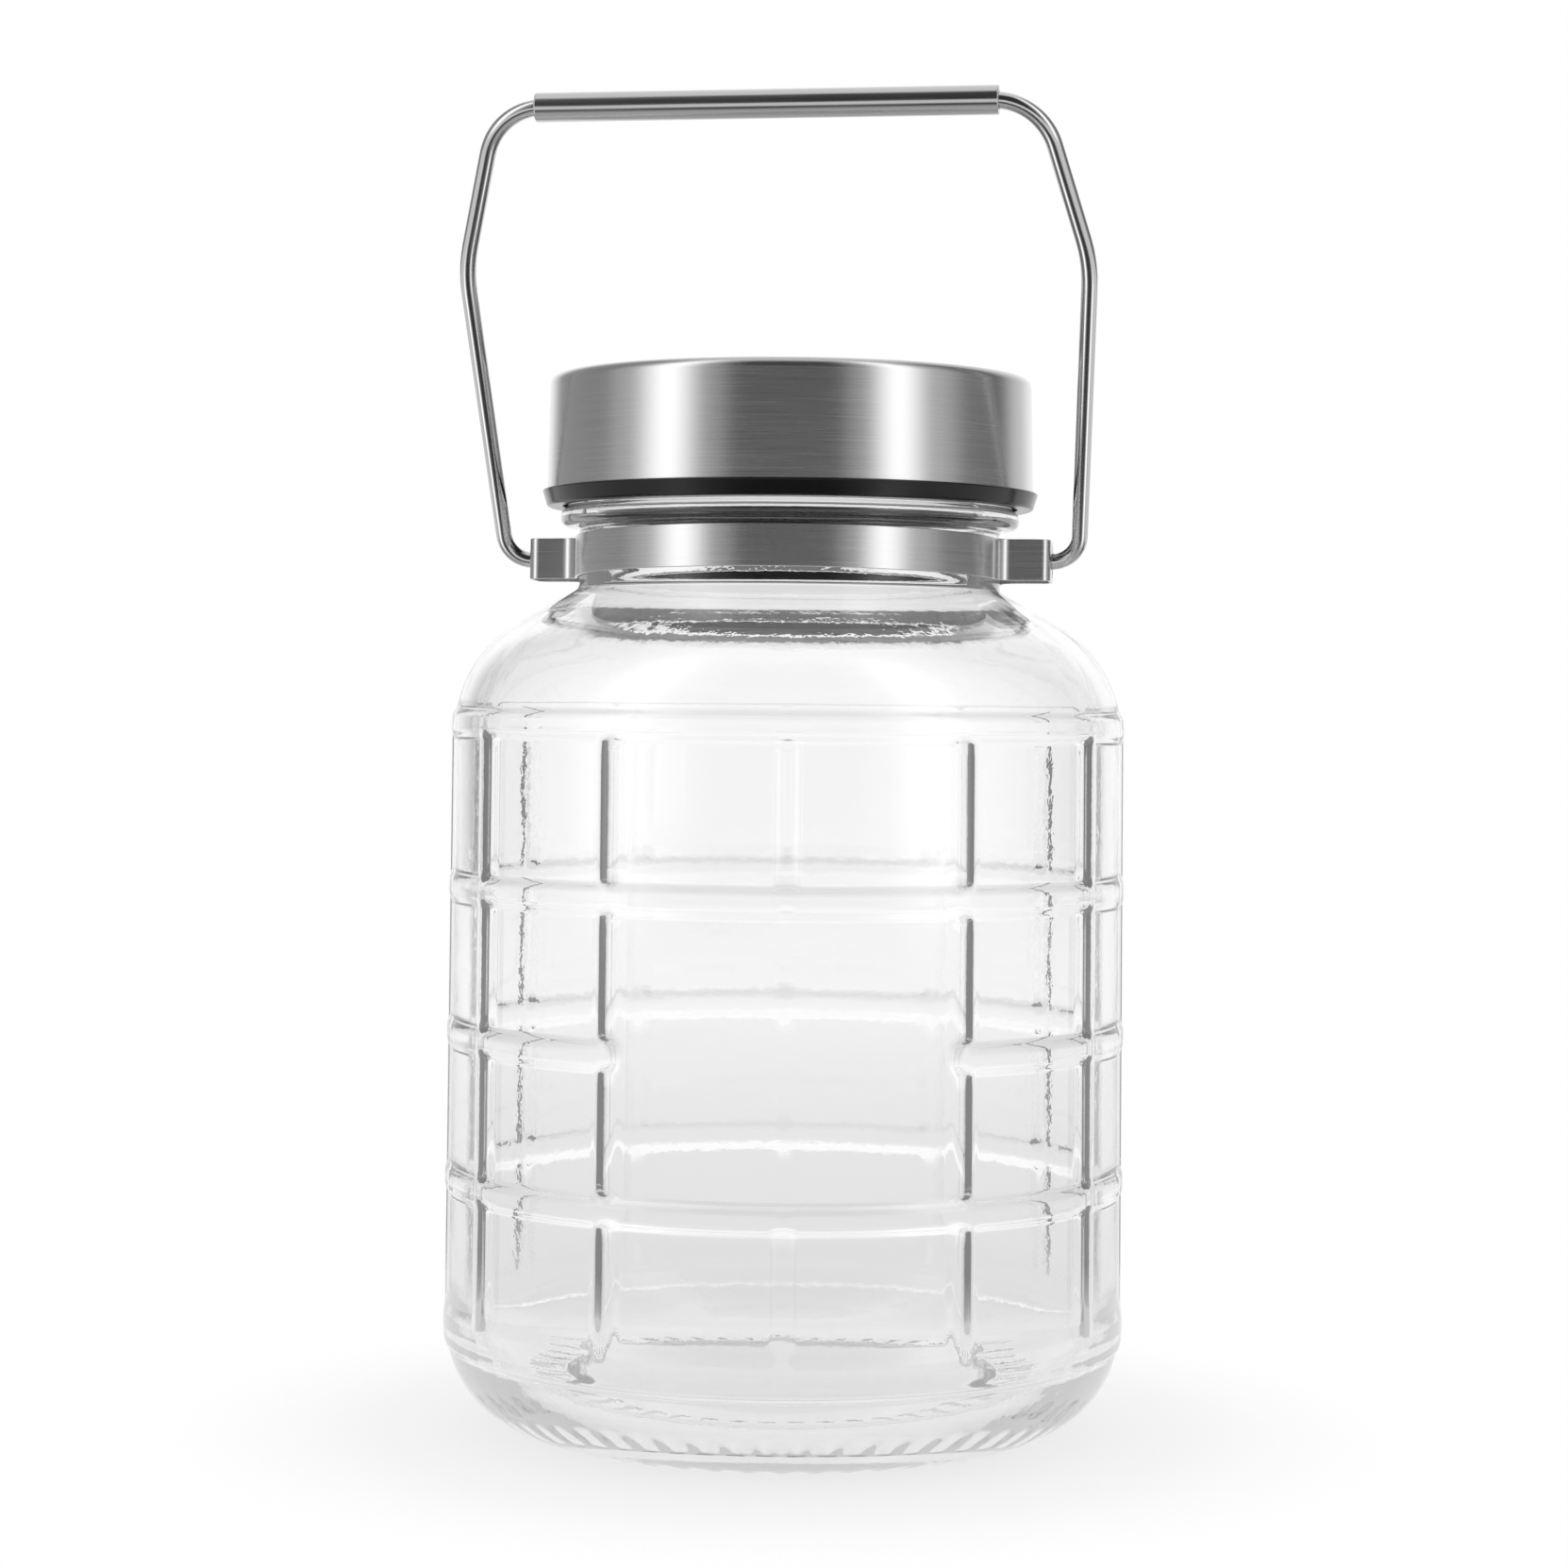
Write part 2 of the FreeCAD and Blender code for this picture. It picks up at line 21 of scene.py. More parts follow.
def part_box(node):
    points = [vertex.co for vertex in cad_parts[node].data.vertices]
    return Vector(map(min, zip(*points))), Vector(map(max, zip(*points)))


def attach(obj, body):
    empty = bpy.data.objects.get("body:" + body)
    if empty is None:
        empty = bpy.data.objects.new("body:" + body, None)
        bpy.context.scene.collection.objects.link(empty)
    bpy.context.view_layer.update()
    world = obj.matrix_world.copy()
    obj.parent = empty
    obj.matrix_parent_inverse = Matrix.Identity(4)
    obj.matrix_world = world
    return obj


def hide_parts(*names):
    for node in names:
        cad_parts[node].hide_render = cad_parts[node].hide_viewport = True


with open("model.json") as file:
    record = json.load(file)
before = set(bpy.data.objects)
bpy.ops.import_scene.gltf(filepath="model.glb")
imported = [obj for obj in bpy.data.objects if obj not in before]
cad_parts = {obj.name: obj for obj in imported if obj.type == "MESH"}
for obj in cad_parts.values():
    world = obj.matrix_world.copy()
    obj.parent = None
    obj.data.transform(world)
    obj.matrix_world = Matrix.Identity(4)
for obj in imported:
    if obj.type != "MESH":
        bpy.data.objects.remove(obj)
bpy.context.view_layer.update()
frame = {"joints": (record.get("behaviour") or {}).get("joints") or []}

log = logging.getLogger("glass_storage_jar")
MM = 0.001
FULL_TURN = 2 * math.pi
WHITE = (1.0, 1.0, 1.0, 1.0)
MERGE = 1e-7
SAME_TURN = 1e-6
WALK = 0.1 * MM
Profile = list[tuple[float, float]]


# --- shared helpers
def linear(hex_colour: str) -> tuple[float, float, float, float]:
    """Turn an sRGB hex colour into linear RGBA.

    Args:
        hex_colour: six hex digits, such as "c8ccd0".

    Returns:
        Linear red, green, blue and an alpha of one.
    """
    def channel(start: int) -> float:
        """Linear value of the two digits at start."""
        value = int(hex_colour[start:start + 2], 16) / 255
        return value / 12.92 if value <= 0.04045 else ((value + 0.055) / 1.055) ** 2.4
    return channel(0), channel(2), channel(4), 1.0


def add_node(tree: NodeTree, kind: str, inputs: dict[str | int, Any] | None = None, **settings: str) -> Node:
    """Add one node to a tree.

    Args:
        tree: the node tree.
        kind: the node's type name.
        inputs: input sockets by name or number, each given a value, another node's socket or another
            node, which stands for its first output.
        settings: properties of the node, by name.

    Returns:
        The new node.
    """
    node = tree.nodes.new(kind)
    for name, value in settings.items():
        setattr(node, name, value)
    for socket, value in (inputs or {}).items():
        if isinstance(value, Node):
            value = value.outputs[0]
        if isinstance(value, NodeSocket):
            tree.links.new(value, node.inputs[socket])
        else:
            node.inputs[socket].default_value = value
    return node


def new_material(name: str) -> tuple[Material, Callable[..., Node], NodeOutputs]:
    """Start a material.

    Args:
        name: the material's name.

    Returns:
        The material, add_node for its emptied tree, and the outputs of a texture coordinate node.
    """
    material = bpy.data.materials.new(name)
    material.use_nodes = True
    material.node_tree.nodes.clear()
    add = partial(add_node, material.node_tree)
    return material, add, add("ShaderNodeTexCoord").outputs


def rounded(corners: Sequence[tuple[float, float]], radii: Sequence[float], arc_degrees: float = 7.0,
            guard: float = 0.15 * MM) -> Profile:
    """Round the inner corners of a polyline with tangent arcs.

    Args:
        corners: the corner points.
        radii: one radius for each corner but the first and the last; 0 keeps it sharp.
        arc_degrees: the most that one step of an arc turns.
        guard: distance from an arc at which a straight run gets a point that keeps it flat.

    Returns:
        Points along the rounded line, with its ends as given.
    """
    points: Profile = [tuple(corners[0])]
    for before, corner, after, radius in zip(corners, corners[1:], corners[2:], radii):
        here = Vector(corner)
        back = (Vector(before) - here).normalized()
        ahead = (Vector(after) - here).normalized()
        if radius <= 0:
            points += [tuple(here + back * guard), tuple(here), tuple(here + ahead * guard)]
            continue
        half = back.angle(ahead) / 2
        reach = radius / math.tan(half)
        centre = here + (back + ahead).normalized() * (radius / math.sin(half))
        first, last = here + back * reach, here + ahead * reach
        turn = math.pi - 2 * half
        side = math.copysign(1, (first - centre).cross(last - centre))
        steps = max(2, math.ceil(math.degrees(turn) / arc_degrees))
        points.append(tuple(first + back * guard))
        for step in range(steps + 1):
            spin = Matrix.Rotation(side * turn * step / steps, 2)
            points.append(tuple(centre + spin @ (first - centre)))
        points.append(tuple(last + ahead * guard))
    points.append(tuple(corners[-1]))
    return points


def respace(line: Profile, spacing: Callable[[float, float], float]) -> Profile:
    """Walk along a line and drop points at a spacing that may change on the way.

    Args:
        line: the points of the line.
        spacing: gives the wanted distance between points near (x, y).

    Returns:
        The new points, with the line's own two ends.
    """
    result = [line[0]]
    walked = 0.0
    for (x0, y0), (x1, y1) in zip(line, line[1:]):
        length = math.hypot(x1 - x0, y1 - y0)
        steps = max(1, math.ceil(length / WALK))
        for step in range(1, steps + 1):
            part = step / steps
            x, y = x0 + (x1 - x0) * part, y0 + (y1 - y0) * part
            walked += length / steps
            if walked >= spacing(x, y):
                result.append((x, y))
                walked = 0.0
    if math.dist(result[-1], line[-1]) < spacing(*line[-1]) / 2:
        result.pop()
    result.append(line[-1])
    return result


def on_circle(radius: float, turn: float, height: float) -> Vector:
    """Point at a radius, a place round the Z axis from 0 to 1, and a height."""
    return Vector((radius * math.cos(turn * FULL_TURN), radius * math.sin(turn * FULL_TURN), height))


@dataclass
class Loop:
    """One closed loop of a skin: its points, where each lies round the loop (0 to 1), and its UV."""

    points: list[Vector]
    turns: list[float]
    girth: float
    across: float
    marks: dict[str, float] = field(default_factory=dict)


class Skin:
    """A smooth closed mesh made by joining one loop of points to the next."""

    def __init__(self, name: str, marks: Sequence[str] = ()) -> None:
        """Start an empty skin of that name, whose points carry the marks."""
        self.name = name
        self.bm = bmesh.new()
        self.uv = self.bm.loops.layers.uv.new("UVMap")
        for mark in marks:
            self.bm.verts.layers.float.new(mark)
        self.marks = {mark: self.bm.verts.layers.float[mark] for mark in marks}
        self.last: tuple[Loop, list[BMVert]] | None = None

    def face(self, corners: Sequence[tuple[BMVert, float, float]]) -> None:
        """Add one smooth face.

        Args:
            corners: a vertex and its UV for each corner.
        """
        made = self.bm.faces.new([vertex for vertex, _, _ in corners])
        made.smooth = True
        for corner, (_, u, v) in zip(made.loops, corners):
            corner[self.uv].uv = (u, v)

    def loop(self, loop: Loop) -> None:
        """Add a loop and join it to the one before.

        Args:
            loop: the new loop. Where its points are not as many as the last loop's, the joint is
                zipped with triangles.
        """
        vertices = [self.bm.verts.new(point) for point in loop.points]
        for mark, value in loop.marks.items():
            for vertex in vertices:
                vertex[self.marks[mark]] = value
        if self.last:
            self.zip(*self.last, loop, vertices)
        self.last = (loop, vertices)

    def zip(self, low: Loop, below: list[BMVert], high: Loop,
            above: list[BMVert]) -> None:
        """Join two loops, pairing their points by where they lie round the loop.

        Args:
            low: the lower loop.
            below: its vertices.
            high: the upper loop.
            above: its vertices.
        """
        def corners(loop: Loop, vertices: list[BMVert]) -> tuple[list, list[float]]:
            """Each vertex and its UV, the first again at the end, and the places round the loop."""
            turns = [*loop.turns, 1 + loop.turns[0]]
            spots = [(vertex, turn * loop.girth, loop.across)
                     for vertex, turn in zip(vertices + vertices[:1], turns)]
            return spots, turns + [math.inf]

        (first, low_turns), (second, high_turns) = corners(low, below), corners(high, above)
        i, j = 0, 0
        while i < len(below) or j < len(above):
            lead = high_turns[j + 1] - low_turns[i + 1]
            if abs(lead) < SAME_TURN:
                self.face([first[i], first[i + 1], second[j + 1], second[j]])
                i, j = i + 1, j + 1
            elif lead > 0:
                self.face([first[i], first[i + 1], second[j]])
                i += 1
            else:
                self.face([first[i], second[j + 1], second[j]])
                j += 1

    def cap(self, point: Vector, first: bool) -> None:
        """Close an end with a fan of triangles.

        Args:
            point: the fan's middle.
            first: whether the loops start here, which sets the way the fan faces.
        """
        loop, ring = self.last
        middle = self.bm.verts.new(point)
        for i, vertex in enumerate(ring):
            after = ring[(i + 1) % len(ring)]
            turn = loop.turns[i] * loop.girth
            pair = [(after, turn, loop.across), (vertex, turn, loop.across)]
            self.face((pair if first else pair[::-1]) + [(middle, turn, loop.across)])

    def piece(self) -> Object:
        """Finish the mesh, facing outwards, and give its object."""
        self.bm.normal_update()
        if self.bm.calc_volume(signed=True) < 0:
            bmesh.ops.reverse_faces(self.bm, faces=self.bm.faces)
        mesh = bpy.data.meshes.new(self.name)
        self.bm.to_mesh(mesh)
        self.bm.free()
        made = bpy.data.objects.new(self.name, mesh)
        bpy.context.scene.collection.objects.link(made)
        return made


def even_turns(count: int) -> list[float]:
    """That many even places round a loop."""
    return [i / count for i in range(count)]


def turned(name: str, profile: Profile, turns: Sequence[float]) -> Skin:
    """Turn a profile about the Z axis.

    Args:
        name: the skin's name.
        profile: radius and height of each point; an end of radius 0 closes the skin there.
        turns: places round the axis, 0 to 1.

    Returns:
        The closed skin.
    """
    skin = Skin(name)
    across = 0.0
    opened = profile[0][0] <= 0
    rows = [spot for spot in profile if spot[0] > 0]
    for i, (radius, height) in enumerate(rows):
        across += math.dist(rows[i - 1], rows[i]) if i else 0.0
        points = [on_circle(radius, turn, height) for turn in turns]
        skin.loop(Loop(points, list(turns), radius * FULL_TURN, across))
        if i == 0 and opened:
            skin.cap(Vector((0, 0, profile[0][1])), first=True)
    if profile[-1][0] <= 0:
        skin.cap(Vector((0, 0, profile[-1][1])), first=False)
    return skin


def swept(name: str, spine: Sequence[Vector], section: Sequence[tuple[float, float]], normal: Vector,
          closed: bool) -> Skin:
    """Sweep a closed section along a flat spine.

    Args:
        name: the skin's name.
        spine: the points of the spine, all in one plane.
        section: the section's points: sideways in the spine's plane, and along the normal.
        normal: the plane's normal.
        closed: whether the spine closes on itself.

    Returns:
        The closed skin. U runs round the section, V along the spine.
    """
    skin = Skin(name)
    count = len(spine)
    girths = [0.0]
    for (ax, ay), (bx, by) in zip(section, list(section[1:]) + [section[0]]):
        girths.append(girths[-1] + math.hypot(bx - ax, by - ay))
    turns = [girth / girths[-1] for girth in girths[:-1]]
    along = 0.0
    first_ring: list[BMVert] = []
    for row, i in enumerate(list(range(count)) + [0] * closed):
        before = spine[i - 1] if closed or i else spine[0]
        after = spine[(i + 1) % count] if closed or i < count - 1 else spine[-1]
        side = (after - before).normalized().cross(normal)
        along += (spine[i] - spine[i - 1]).length if row else 0.0
        points = [spine[i] + side * x + normal * y for x, y in section]
        skin.loop(Loop(points, turns, girths[-1], along))
        if row == 0:
            first_ring = skin.last[1]
            if not closed:
                skin.cap(spine[0], first=True)
    if closed:
        bmesh.ops.remove_doubles(skin.bm, verts=skin.last[1] + first_ring, dist=MERGE)
    else:
        skin.cap(spine[-1], first=False)
    return skin


def realised(piece: Object) -> Object:
    """Bake a piece's modifiers into its mesh and remove them."""
    bpy.context.view_layer.update()
    graph = bpy.context.evaluated_depsgraph_get()
    mesh = bpy.data.meshes.new_from_object(piece.evaluated_get(graph), depsgraph=graph)
    piece.modifiers.clear()
    old, piece.data = piece.data, mesh
    mesh.name = piece.name
    bpy.data.meshes.remove(old)
    return piece


def dress(piece: Object, materials: Sequence[Material], body: "Body", node: str) -> None:
    """Give a piece its finish and its body, and hide the CAD node it stands for.

    Args:
        piece: the finished piece.
        materials: its finishes, in the order of its faces' numbers.
        body: the body it rides on.
        node: the CAD node that it replaces.
    """
    numbers = [face.material_index for face in piece.data.polygons]
    piece.data.materials.clear()
    for material in materials:
        piece.data.materials.append(material)
    if len(materials) == 1:
        numbers = [0] * len(numbers)
    piece.data.polygons.foreach_set("material_index", numbers)
    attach(piece, body.value)
    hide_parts(node)
    log.info("%s: %d faces, rides on %s", piece.name, len(piece.data.polygons), body.value)


class Body(Enum):
    """The two bodies of the jar."""

    JAR = "jar"
    HANDLE = "handle"


# --- finishes
class Brushing(Enum):
    """Which way the lines run on a piece's own UV map, as a share of a turn from V."""

    ROUND_THE_AXIS = 0.25
    ALONG_THE_SWEEP = 0.0


@dataclass(frozen=True)
class PressedGlass:
    """Clear soda-lime glass pressed in an iron mould and fire-polished."""

    # Colourless and smooth, so the eye sees the white room bent by ribs and rings, and dark cores
    # where the glass is thick.
    name: str = "pressed_soda_lime_glass"
    tint: str = "fcfcfc"
    ior: float = 1.52
    shadow_tint: str = "fbfbfb"
    # A ray still in the glass after this many bounces ends in a plain grey, lighter low in the foot:
    # a tuned stand-in for the light that a longer path would find.
    trapped_light: str = "7c7c7c"
    trapped_at_foot: str = "c6c6c6"
    foot_light_top: float = 34 * MM
    longest_path: float = 5.5
    # The ripple that the mould leaves in the skin: waves of 16 mm, with finer ones on them.
    ripple_size: float = 16 * MM
    ripple_height: float = 0.05 * MM
    ripple_octaves: float = 5.0
    ripple_roughness: float = 0.62

    def material(self) -> Material:
        """Build the glass.

        Returns:
            The material: refracting to the eye, but clear to shadow rays and to light that a matt
            surface gathers.
        """
        material, add, place = new_material(self.name)
        ripple = add("ShaderNodeTexNoise", {
            "Vector": place["Object"], "Scale": 1 / self.ripple_size,
            "Detail": self.ripple_octaves, "Roughness": self.ripple_roughness})
        bump = add("ShaderNodeBump", {"Height": ripple, "Distance": self.ripple_height, "Strength": 1.0})
        glass = add("ShaderNodeBsdfPrincipled", {
            "Base Color": linear(self.tint), "Roughness": 0.0, "IOR": self.ior,
            "Transmission Weight": 1.0, "Normal": bump})
        clear = add("ShaderNodeBsdfTransparent", {"Color": linear(self.shadow_tint)})
        path = add("ShaderNodeLightPath")
        either = add("ShaderNodeMath", {
            0: path.outputs["Is Shadow Ray"], 1: path.outputs["Is Diffuse Ray"]}, operation="MAXIMUM")
        mix = add("ShaderNodeMixShader", {0: either, 1: glass, 2: clear})
        height = add("ShaderNodeSeparateXYZ", {0: place["Object"]}).outputs[2]
        left = add("ShaderNodeMapRange", {
            "Vector": height, "From Min": (0.5 * self.foot_light_top,) * 3,
            "From Max": (self.foot_light_top,) * 3, "To Min": linear(self.trapped_at_foot)[:3],
            "To Max": linear(self.trapped_light)[:3]}, data_type="FLOAT_VECTOR")
        trapped = add("ShaderNodeEmission", {"Color": left.outputs["Vector"], "Strength": 1.0})
        deep = add("ShaderNodeMath", {
            0: path.outputs["Ray Depth"], 1: self.longest_path}, operation="GREATER_THAN")
        whole = add("ShaderNodeMixShader", {0: deep, 1: mix, 2: trapped})
        add("ShaderNodeOutputMaterial", {"Surface": whole})
        return material


@dataclass(frozen=True)
class Steel:
    """Stainless steel with the marks of its brushing, grinding, drawing or rolling."""

    # Brushed steel draws each light out across its lines, so the eye sees broad soft bands.
    name: str
    colour: str = "c9c9c9"
    roughness: float = 0.24
    anisotropy: float = 0.8
    # Real brush lines are a few hundredths of a millimetre wide, too fine to show in the render, so
    # they are drawn at 0.12 mm.
    streak_width: float = 0.12 * MM
    streak_length: float = 22 * MM
    streak_depth: float = 0.0016 * MM
    streak_tone: float = 0.07
    # Part of the noise's range that the tone runs over, and how far roughness strays from its mean.
    noise_span: tuple[float, float] = (0.3, 0.7)
    roughness_spread: float = 0.15
    centre: tuple[float, float, float] = (0.0, 0.0, 0.0)
    turn: tuple[float, float, float] = (0.0, 0.0, 0.0)
    across_axis: int = 2
    brushing: Brushing = Brushing.ROUND_THE_AXIS

    def material(self) -> Material:
        """Build the steel.

        Returns:
            The material, its streaks running as the brushing says.
        """
        material, add, place = new_material(self.name)
        scale = [self.streak_length] * 3
        scale[self.across_axis] = self.streak_width
        brush = add("ShaderNodeMapping", {
            "Vector": place["Object"], "Location": self.centre, "Rotation": self.turn,
            "Scale": scale}, vector_type="TEXTURE")
        streaks = add("ShaderNodeTexNoise", {
            "Vector": brush, "Scale": 1.0, "Detail": 3.0, "Roughness": 0.6})
        ends = ((1 - self.streak_tone, 1.0), (self.roughness * (1 - self.roughness_spread),
                                              self.roughness * (1 + self.roughness_spread)))
        tone, rough = (add("ShaderNodeMapRange", {
            "Value": streaks, "From Min": self.noise_span[0], "From Max": self.noise_span[1],
            "To Min": low, "To Max": high}) for low, high in ends)
        colour = add("ShaderNodeVectorMath", {0: linear(self.colour)[:3], "Scale": tone}, operation="SCALE")
        bump = add("ShaderNodeBump", {"Height": streaks, "Distance": self.streak_depth, "Strength": 1.0})
        along = add("ShaderNodeTangent", direction_type="UV_MAP", uv_map="UVMap")
        steel = add("ShaderNodeBsdfPrincipled", {
            "Base Color": colour, "Metallic": 1.0, "Roughness": rough,
            "Anisotropic": self.anisotropy, "Anisotropic Rotation": self.brushing.value,
            "Normal": bump, "Tangent": along})
        add("ShaderNodeOutputMaterial", {"Surface": steel})
        return material


@dataclass(frozen=True)
class MouldedPlastic:
    """Black moulded polypropylene."""

    # The eye sees deep black with a soft gloss along its edge, faintly uneven in waves of 1.2 mm.
    name: str = "black_moulded_polypropylene"
    colour: str = "0a0a0a"
    roughness: float = 0.18
    sheen: float = 0.3
    grain_size: float = 1.2 * MM
    grain_depth: float = 0.006 * MM

    def material(self) -> Material:
        """Build the plastic and return it."""
        material, add, place = new_material(self.name)
        grain = add("ShaderNodeTexNoise", {
            "Vector": place["Object"], "Scale": 1 / self.grain_size, "Detail": 2.0})
        bump = add("ShaderNodeBump", {"Height": grain, "Distance": self.grain_depth, "Strength": 1.0})
        rough = add("ShaderNodeMapRange", {
            "Value": grain, "To Min": self.roughness * 0.8, "To Max": self.roughness * 1.2})
        plastic = add("ShaderNodeBsdfPrincipled", {
            "Base Color": linear(self.colour), "Roughness": rough, "IOR": 1.49,
            "Specular IOR Level": self.sheen, "Normal": bump})
        add("ShaderNodeOutputMaterial", {"Surface": plastic})
        return material


# --- the glass
# Steps that press the grid: a name, the operation, and its operands, each a number, an input of the
# tree or an earlier name. First the squared distance to the nearest rib, then to the nearest ring.
PRESSED_GRID = """\
behind MULTIPLY y -1
angle ARCTAN2 x behind
sector DIVIDE turn Sectors
place DIVIDE angle sector
rib_number ROUND place
off_rib SUBTRACT place rib_number
rib_angle MULTIPLY off_rib sector
rib_away MULTIPLY rib_angle Radius
above SUBTRACT z Ring_1
below SUBTRACT Rib_Foot z
beyond MAXIMUM above below
under_ring_2 SUBTRACT Ring_2 z
over_ring_4 SUBTRACT z Ring_4
panel_depth MINIMUM under_ring_2 over_ring_4
rib_index ABSOLUTE rib_number
front_rib LESS_THAN rib_index 0.5
panel_end MULTIPLY panel_depth front_rib
end MAXIMUM beyond panel_end
past_end MAXIMUM end 0
across_2 MULTIPLY rib_away rib_away
end_2 MULTIPLY past_end past_end
rib_2 ADD across_2 end_2
ring_3_off SUBTRACT z Ring_3
front_angle ABSOLUTE angle
into_panel SUBTRACT sector front_angle
panel_away MULTIPLY into_panel Radius
panel_side MAXIMUM panel_away 0
panel_side_2 MULTIPLY panel_side panel_side
ring_3_2 MULTIPLY ring_3_off ring_3_off
nearest_3 ADD ring_3_2 panel_side_2
off_1 SUBTRACT z Ring_1
off_1_2 MULTIPLY off_1 off_1
nearest_1 MINIMUM nearest_3 off_1_2
off_2 SUBTRACT z Ring_2
off_2_2 MULTIPLY off_2 off_2
nearest_2 MINIMUM nearest_1 off_2_2
off_4 SUBTRACT z Ring_4
off_4_2 MULTIPLY off_4 off_4
nearest_4 MINIMUM nearest_2 off_4_2
off_5 SUBTRACT z Ring_5
over_5 MULTIPLY off_5 Top_Ease
under_5 MULTIPLY off_5 -1
eased_5 MAXIMUM over_5 under_5
off_5_2 MULTIPLY eased_5 eased_5
nearest_5 MINIMUM nearest_4 off_5_2
rib_half MULTIPLY Rib_Width 0.5
rib_half_2 MULTIPLY rib_half rib_half
rib_share DIVIDE rib_2 rib_half_2
rib_cap SUBTRACT 1 rib_share
rib_bounded MAXIMUM rib_cap floor
rib_rise MULTIPLY rib_bounded Rib_Rise
ring_half MULTIPLY Ring_Width 0.5
ring_half_2 MULTIPLY ring_half ring_half
ring_share DIVIDE nearest_5 ring_half_2
ring_fall POWER ring_share power
ring_cap SUBTRACT 1 ring_fall
ring_bounded MAXIMUM ring_cap floor
ring_rise MULTIPLY ring_bounded Ring_Rise
near_ring SUBTRACT reach ring_share
ring_most MINIMUM near_ring 1
on_ring MAXIMUM ring_most 0
rib_lost MULTIPLY on_ring Break
rib_kept SUBTRACT 1 rib_lost
rib_left MULTIPLY rib_rise rib_kept
grid SMOOTH_MAX rib_left ring_rise Blend
relief SMOOTH_MAX grid 0 Foot_Blend"""


@dataclass
class GlassJar:
    """The jar: a turned wall of glass, with a grid of pressed ribs and a notched foot."""

    rim: float
    wall_low: float = 67.8 * MM
    wall_high: float = 66.9 * MM
    heel_round: float = 20.6 * MM
    pushup_height: float = 2.6 * MM
    pushup_radius: float = 41.5 * MM
    pushup_slope: float = 3.0 * MM
    shoulder_round: float = 25.0 * MM
    shoulder_slope: float = math.radians(29.6)
    shoulder_top: float = 167.9 * MM
    neck_radius: float = 42.3 * MM
    neck_round: float = 1.3 * MM
    wall: float = 3.9 * MM
    floor: float = 4.4 * MM
    heel_inside: float = 16.0 * MM
    neck_wall: float = 3.5 * MM
    neck_inside: float = 0.8 * MM
    finish_height: float = 180.4 * MM
    finish_radius: float = 44.6 * MM
    bead_rise: float = 1.4 * MM
    bead_round: float = 1.6 * MM
    rim_round: float = 1.2 * MM
    rib_width: float = 4.8 * MM
    ring_width: float = 5.6 * MM
    rib_rise: float = 0.55 * MM
    ring_rise: float = 0.6 * MM
    groove_depth: float = 0.85 * MM
    blend: float = 0.5 * MM
    foot_blend: float = 0.06 * MM
    rib_foot: float = 24.0 * MM
    # Above the lowest ring a distance counts for only this share, so its cap runs out slowly.
    top_ease: float = 0.4
    # A groove inside breaks off where (distance to a ring / half its width) squared is under this.
    break_reach: float = 1.3
    ring_power: float = 2.0
    cap_floor: float = -4.0
    groove_start: float = 18 * MM
    groove_fade: float = 9 * MM
    ring_heights: tuple[float, ...] = (141.0 * MM, 108.5 * MM, 79.4 * MM, 50.4 * MM, 19.5 * MM)
    sectors: int = 12
    # The mould leaves the inside wall slightly uneven, in waves of 14 mm.
    unevenness: float = 0.06 * MM
    uneven_size: float = 14 * MM
    notches: int = 52
    notch_depth: float = 0.8 * MM
    notch_top: float = 1.8 * MM
    points_per_notch: int = 8
    rib_columns: int = 16
    panel_columns: int = 6

    def columns(self) -> list[float]:
        """Places round the jar: close together on each rib, wide apart on the panels."""
        sector = 1 / self.sectors
        rib = (self.rib_width + 2 * MM) / (FULL_TURN * self.wall_high)
        places = []
        for number in range(self.sectors):
            start = number * sector - rib / 2
            places += [start + rib * i / self.rib_columns for i in range(self.rib_columns)]
            start += rib
            places += [start + (sector - rib) * i / self.panel_columns for i in range(self.panel_columns)]
        return sorted(place % 1 for place in places)

    def outside(self) -> Profile:
        """Outline of the outside, from the middle of the base to the rim.

        Returns:
            Rounded corners, before they are spaced out.
        """
        slope = math.tan(self.shoulder_slope)
        corner = self.shoulder_top - (self.wall_high - self.neck_radius) * slope
        bead = self.finish_radius + self.bead_rise
        bead_low = self.finish_height - 0.2 * MM
        corners = [
            (0.0, self.pushup_height), (self.pushup_radius, self.pushup_height),
            (self.pushup_radius + self.pushup_slope, 0.0), (self.wall_low, 0.0), (self.wall_high, corner),
            (self.neck_radius, self.shoulder_top), (self.neck_radius, bead_low),
            (bead, bead_low), (bead, bead_low + 2 * self.bead_round),
            (self.finish_radius, bead_low + 2 * self.bead_round + 0.6 * MM), (self.finish_radius, self.rim),
            (self.finish_radius - 1.5 * self.rim_round, self.rim)]
        radii = [1.5 * MM, 0.5 * MM, self.heel_round, self.shoulder_round, self.neck_round, 0.6 * MM,
                 self.bead_round * 0.95, self.bead_round * 0.9, 0.6 * MM, self.rim_round]
        return rounded(corners, radii)

    def inside(self) -> Profile:
        """Outline of the inside, from the rim to the middle of the floor.

        Returns:
            Rounded corners, before they are spaced out.
        """
        slope = math.tan(self.shoulder_slope)
        cone = self.shoulder_top - self.neck_wall / math.cos(self.shoulder_slope)
        bore = self.neck_radius - self.neck_wall
        high, low = self.wall_high - self.wall, self.wall_low - self.wall
        floor = self.pushup_height + self.floor
        corners = [
            (self.finish_radius - 1.5 * self.rim_round, self.rim), (bore, self.rim),
            (bore, cone + self.neck_wall * slope), (high, cone - (high - self.neck_radius) * slope),
            (low, floor), (0.0, floor)]
        radii = [self.rim_round, self.neck_inside, self.shoulder_round - self.wall, self.heel_inside]
        return rounded(corners, radii)

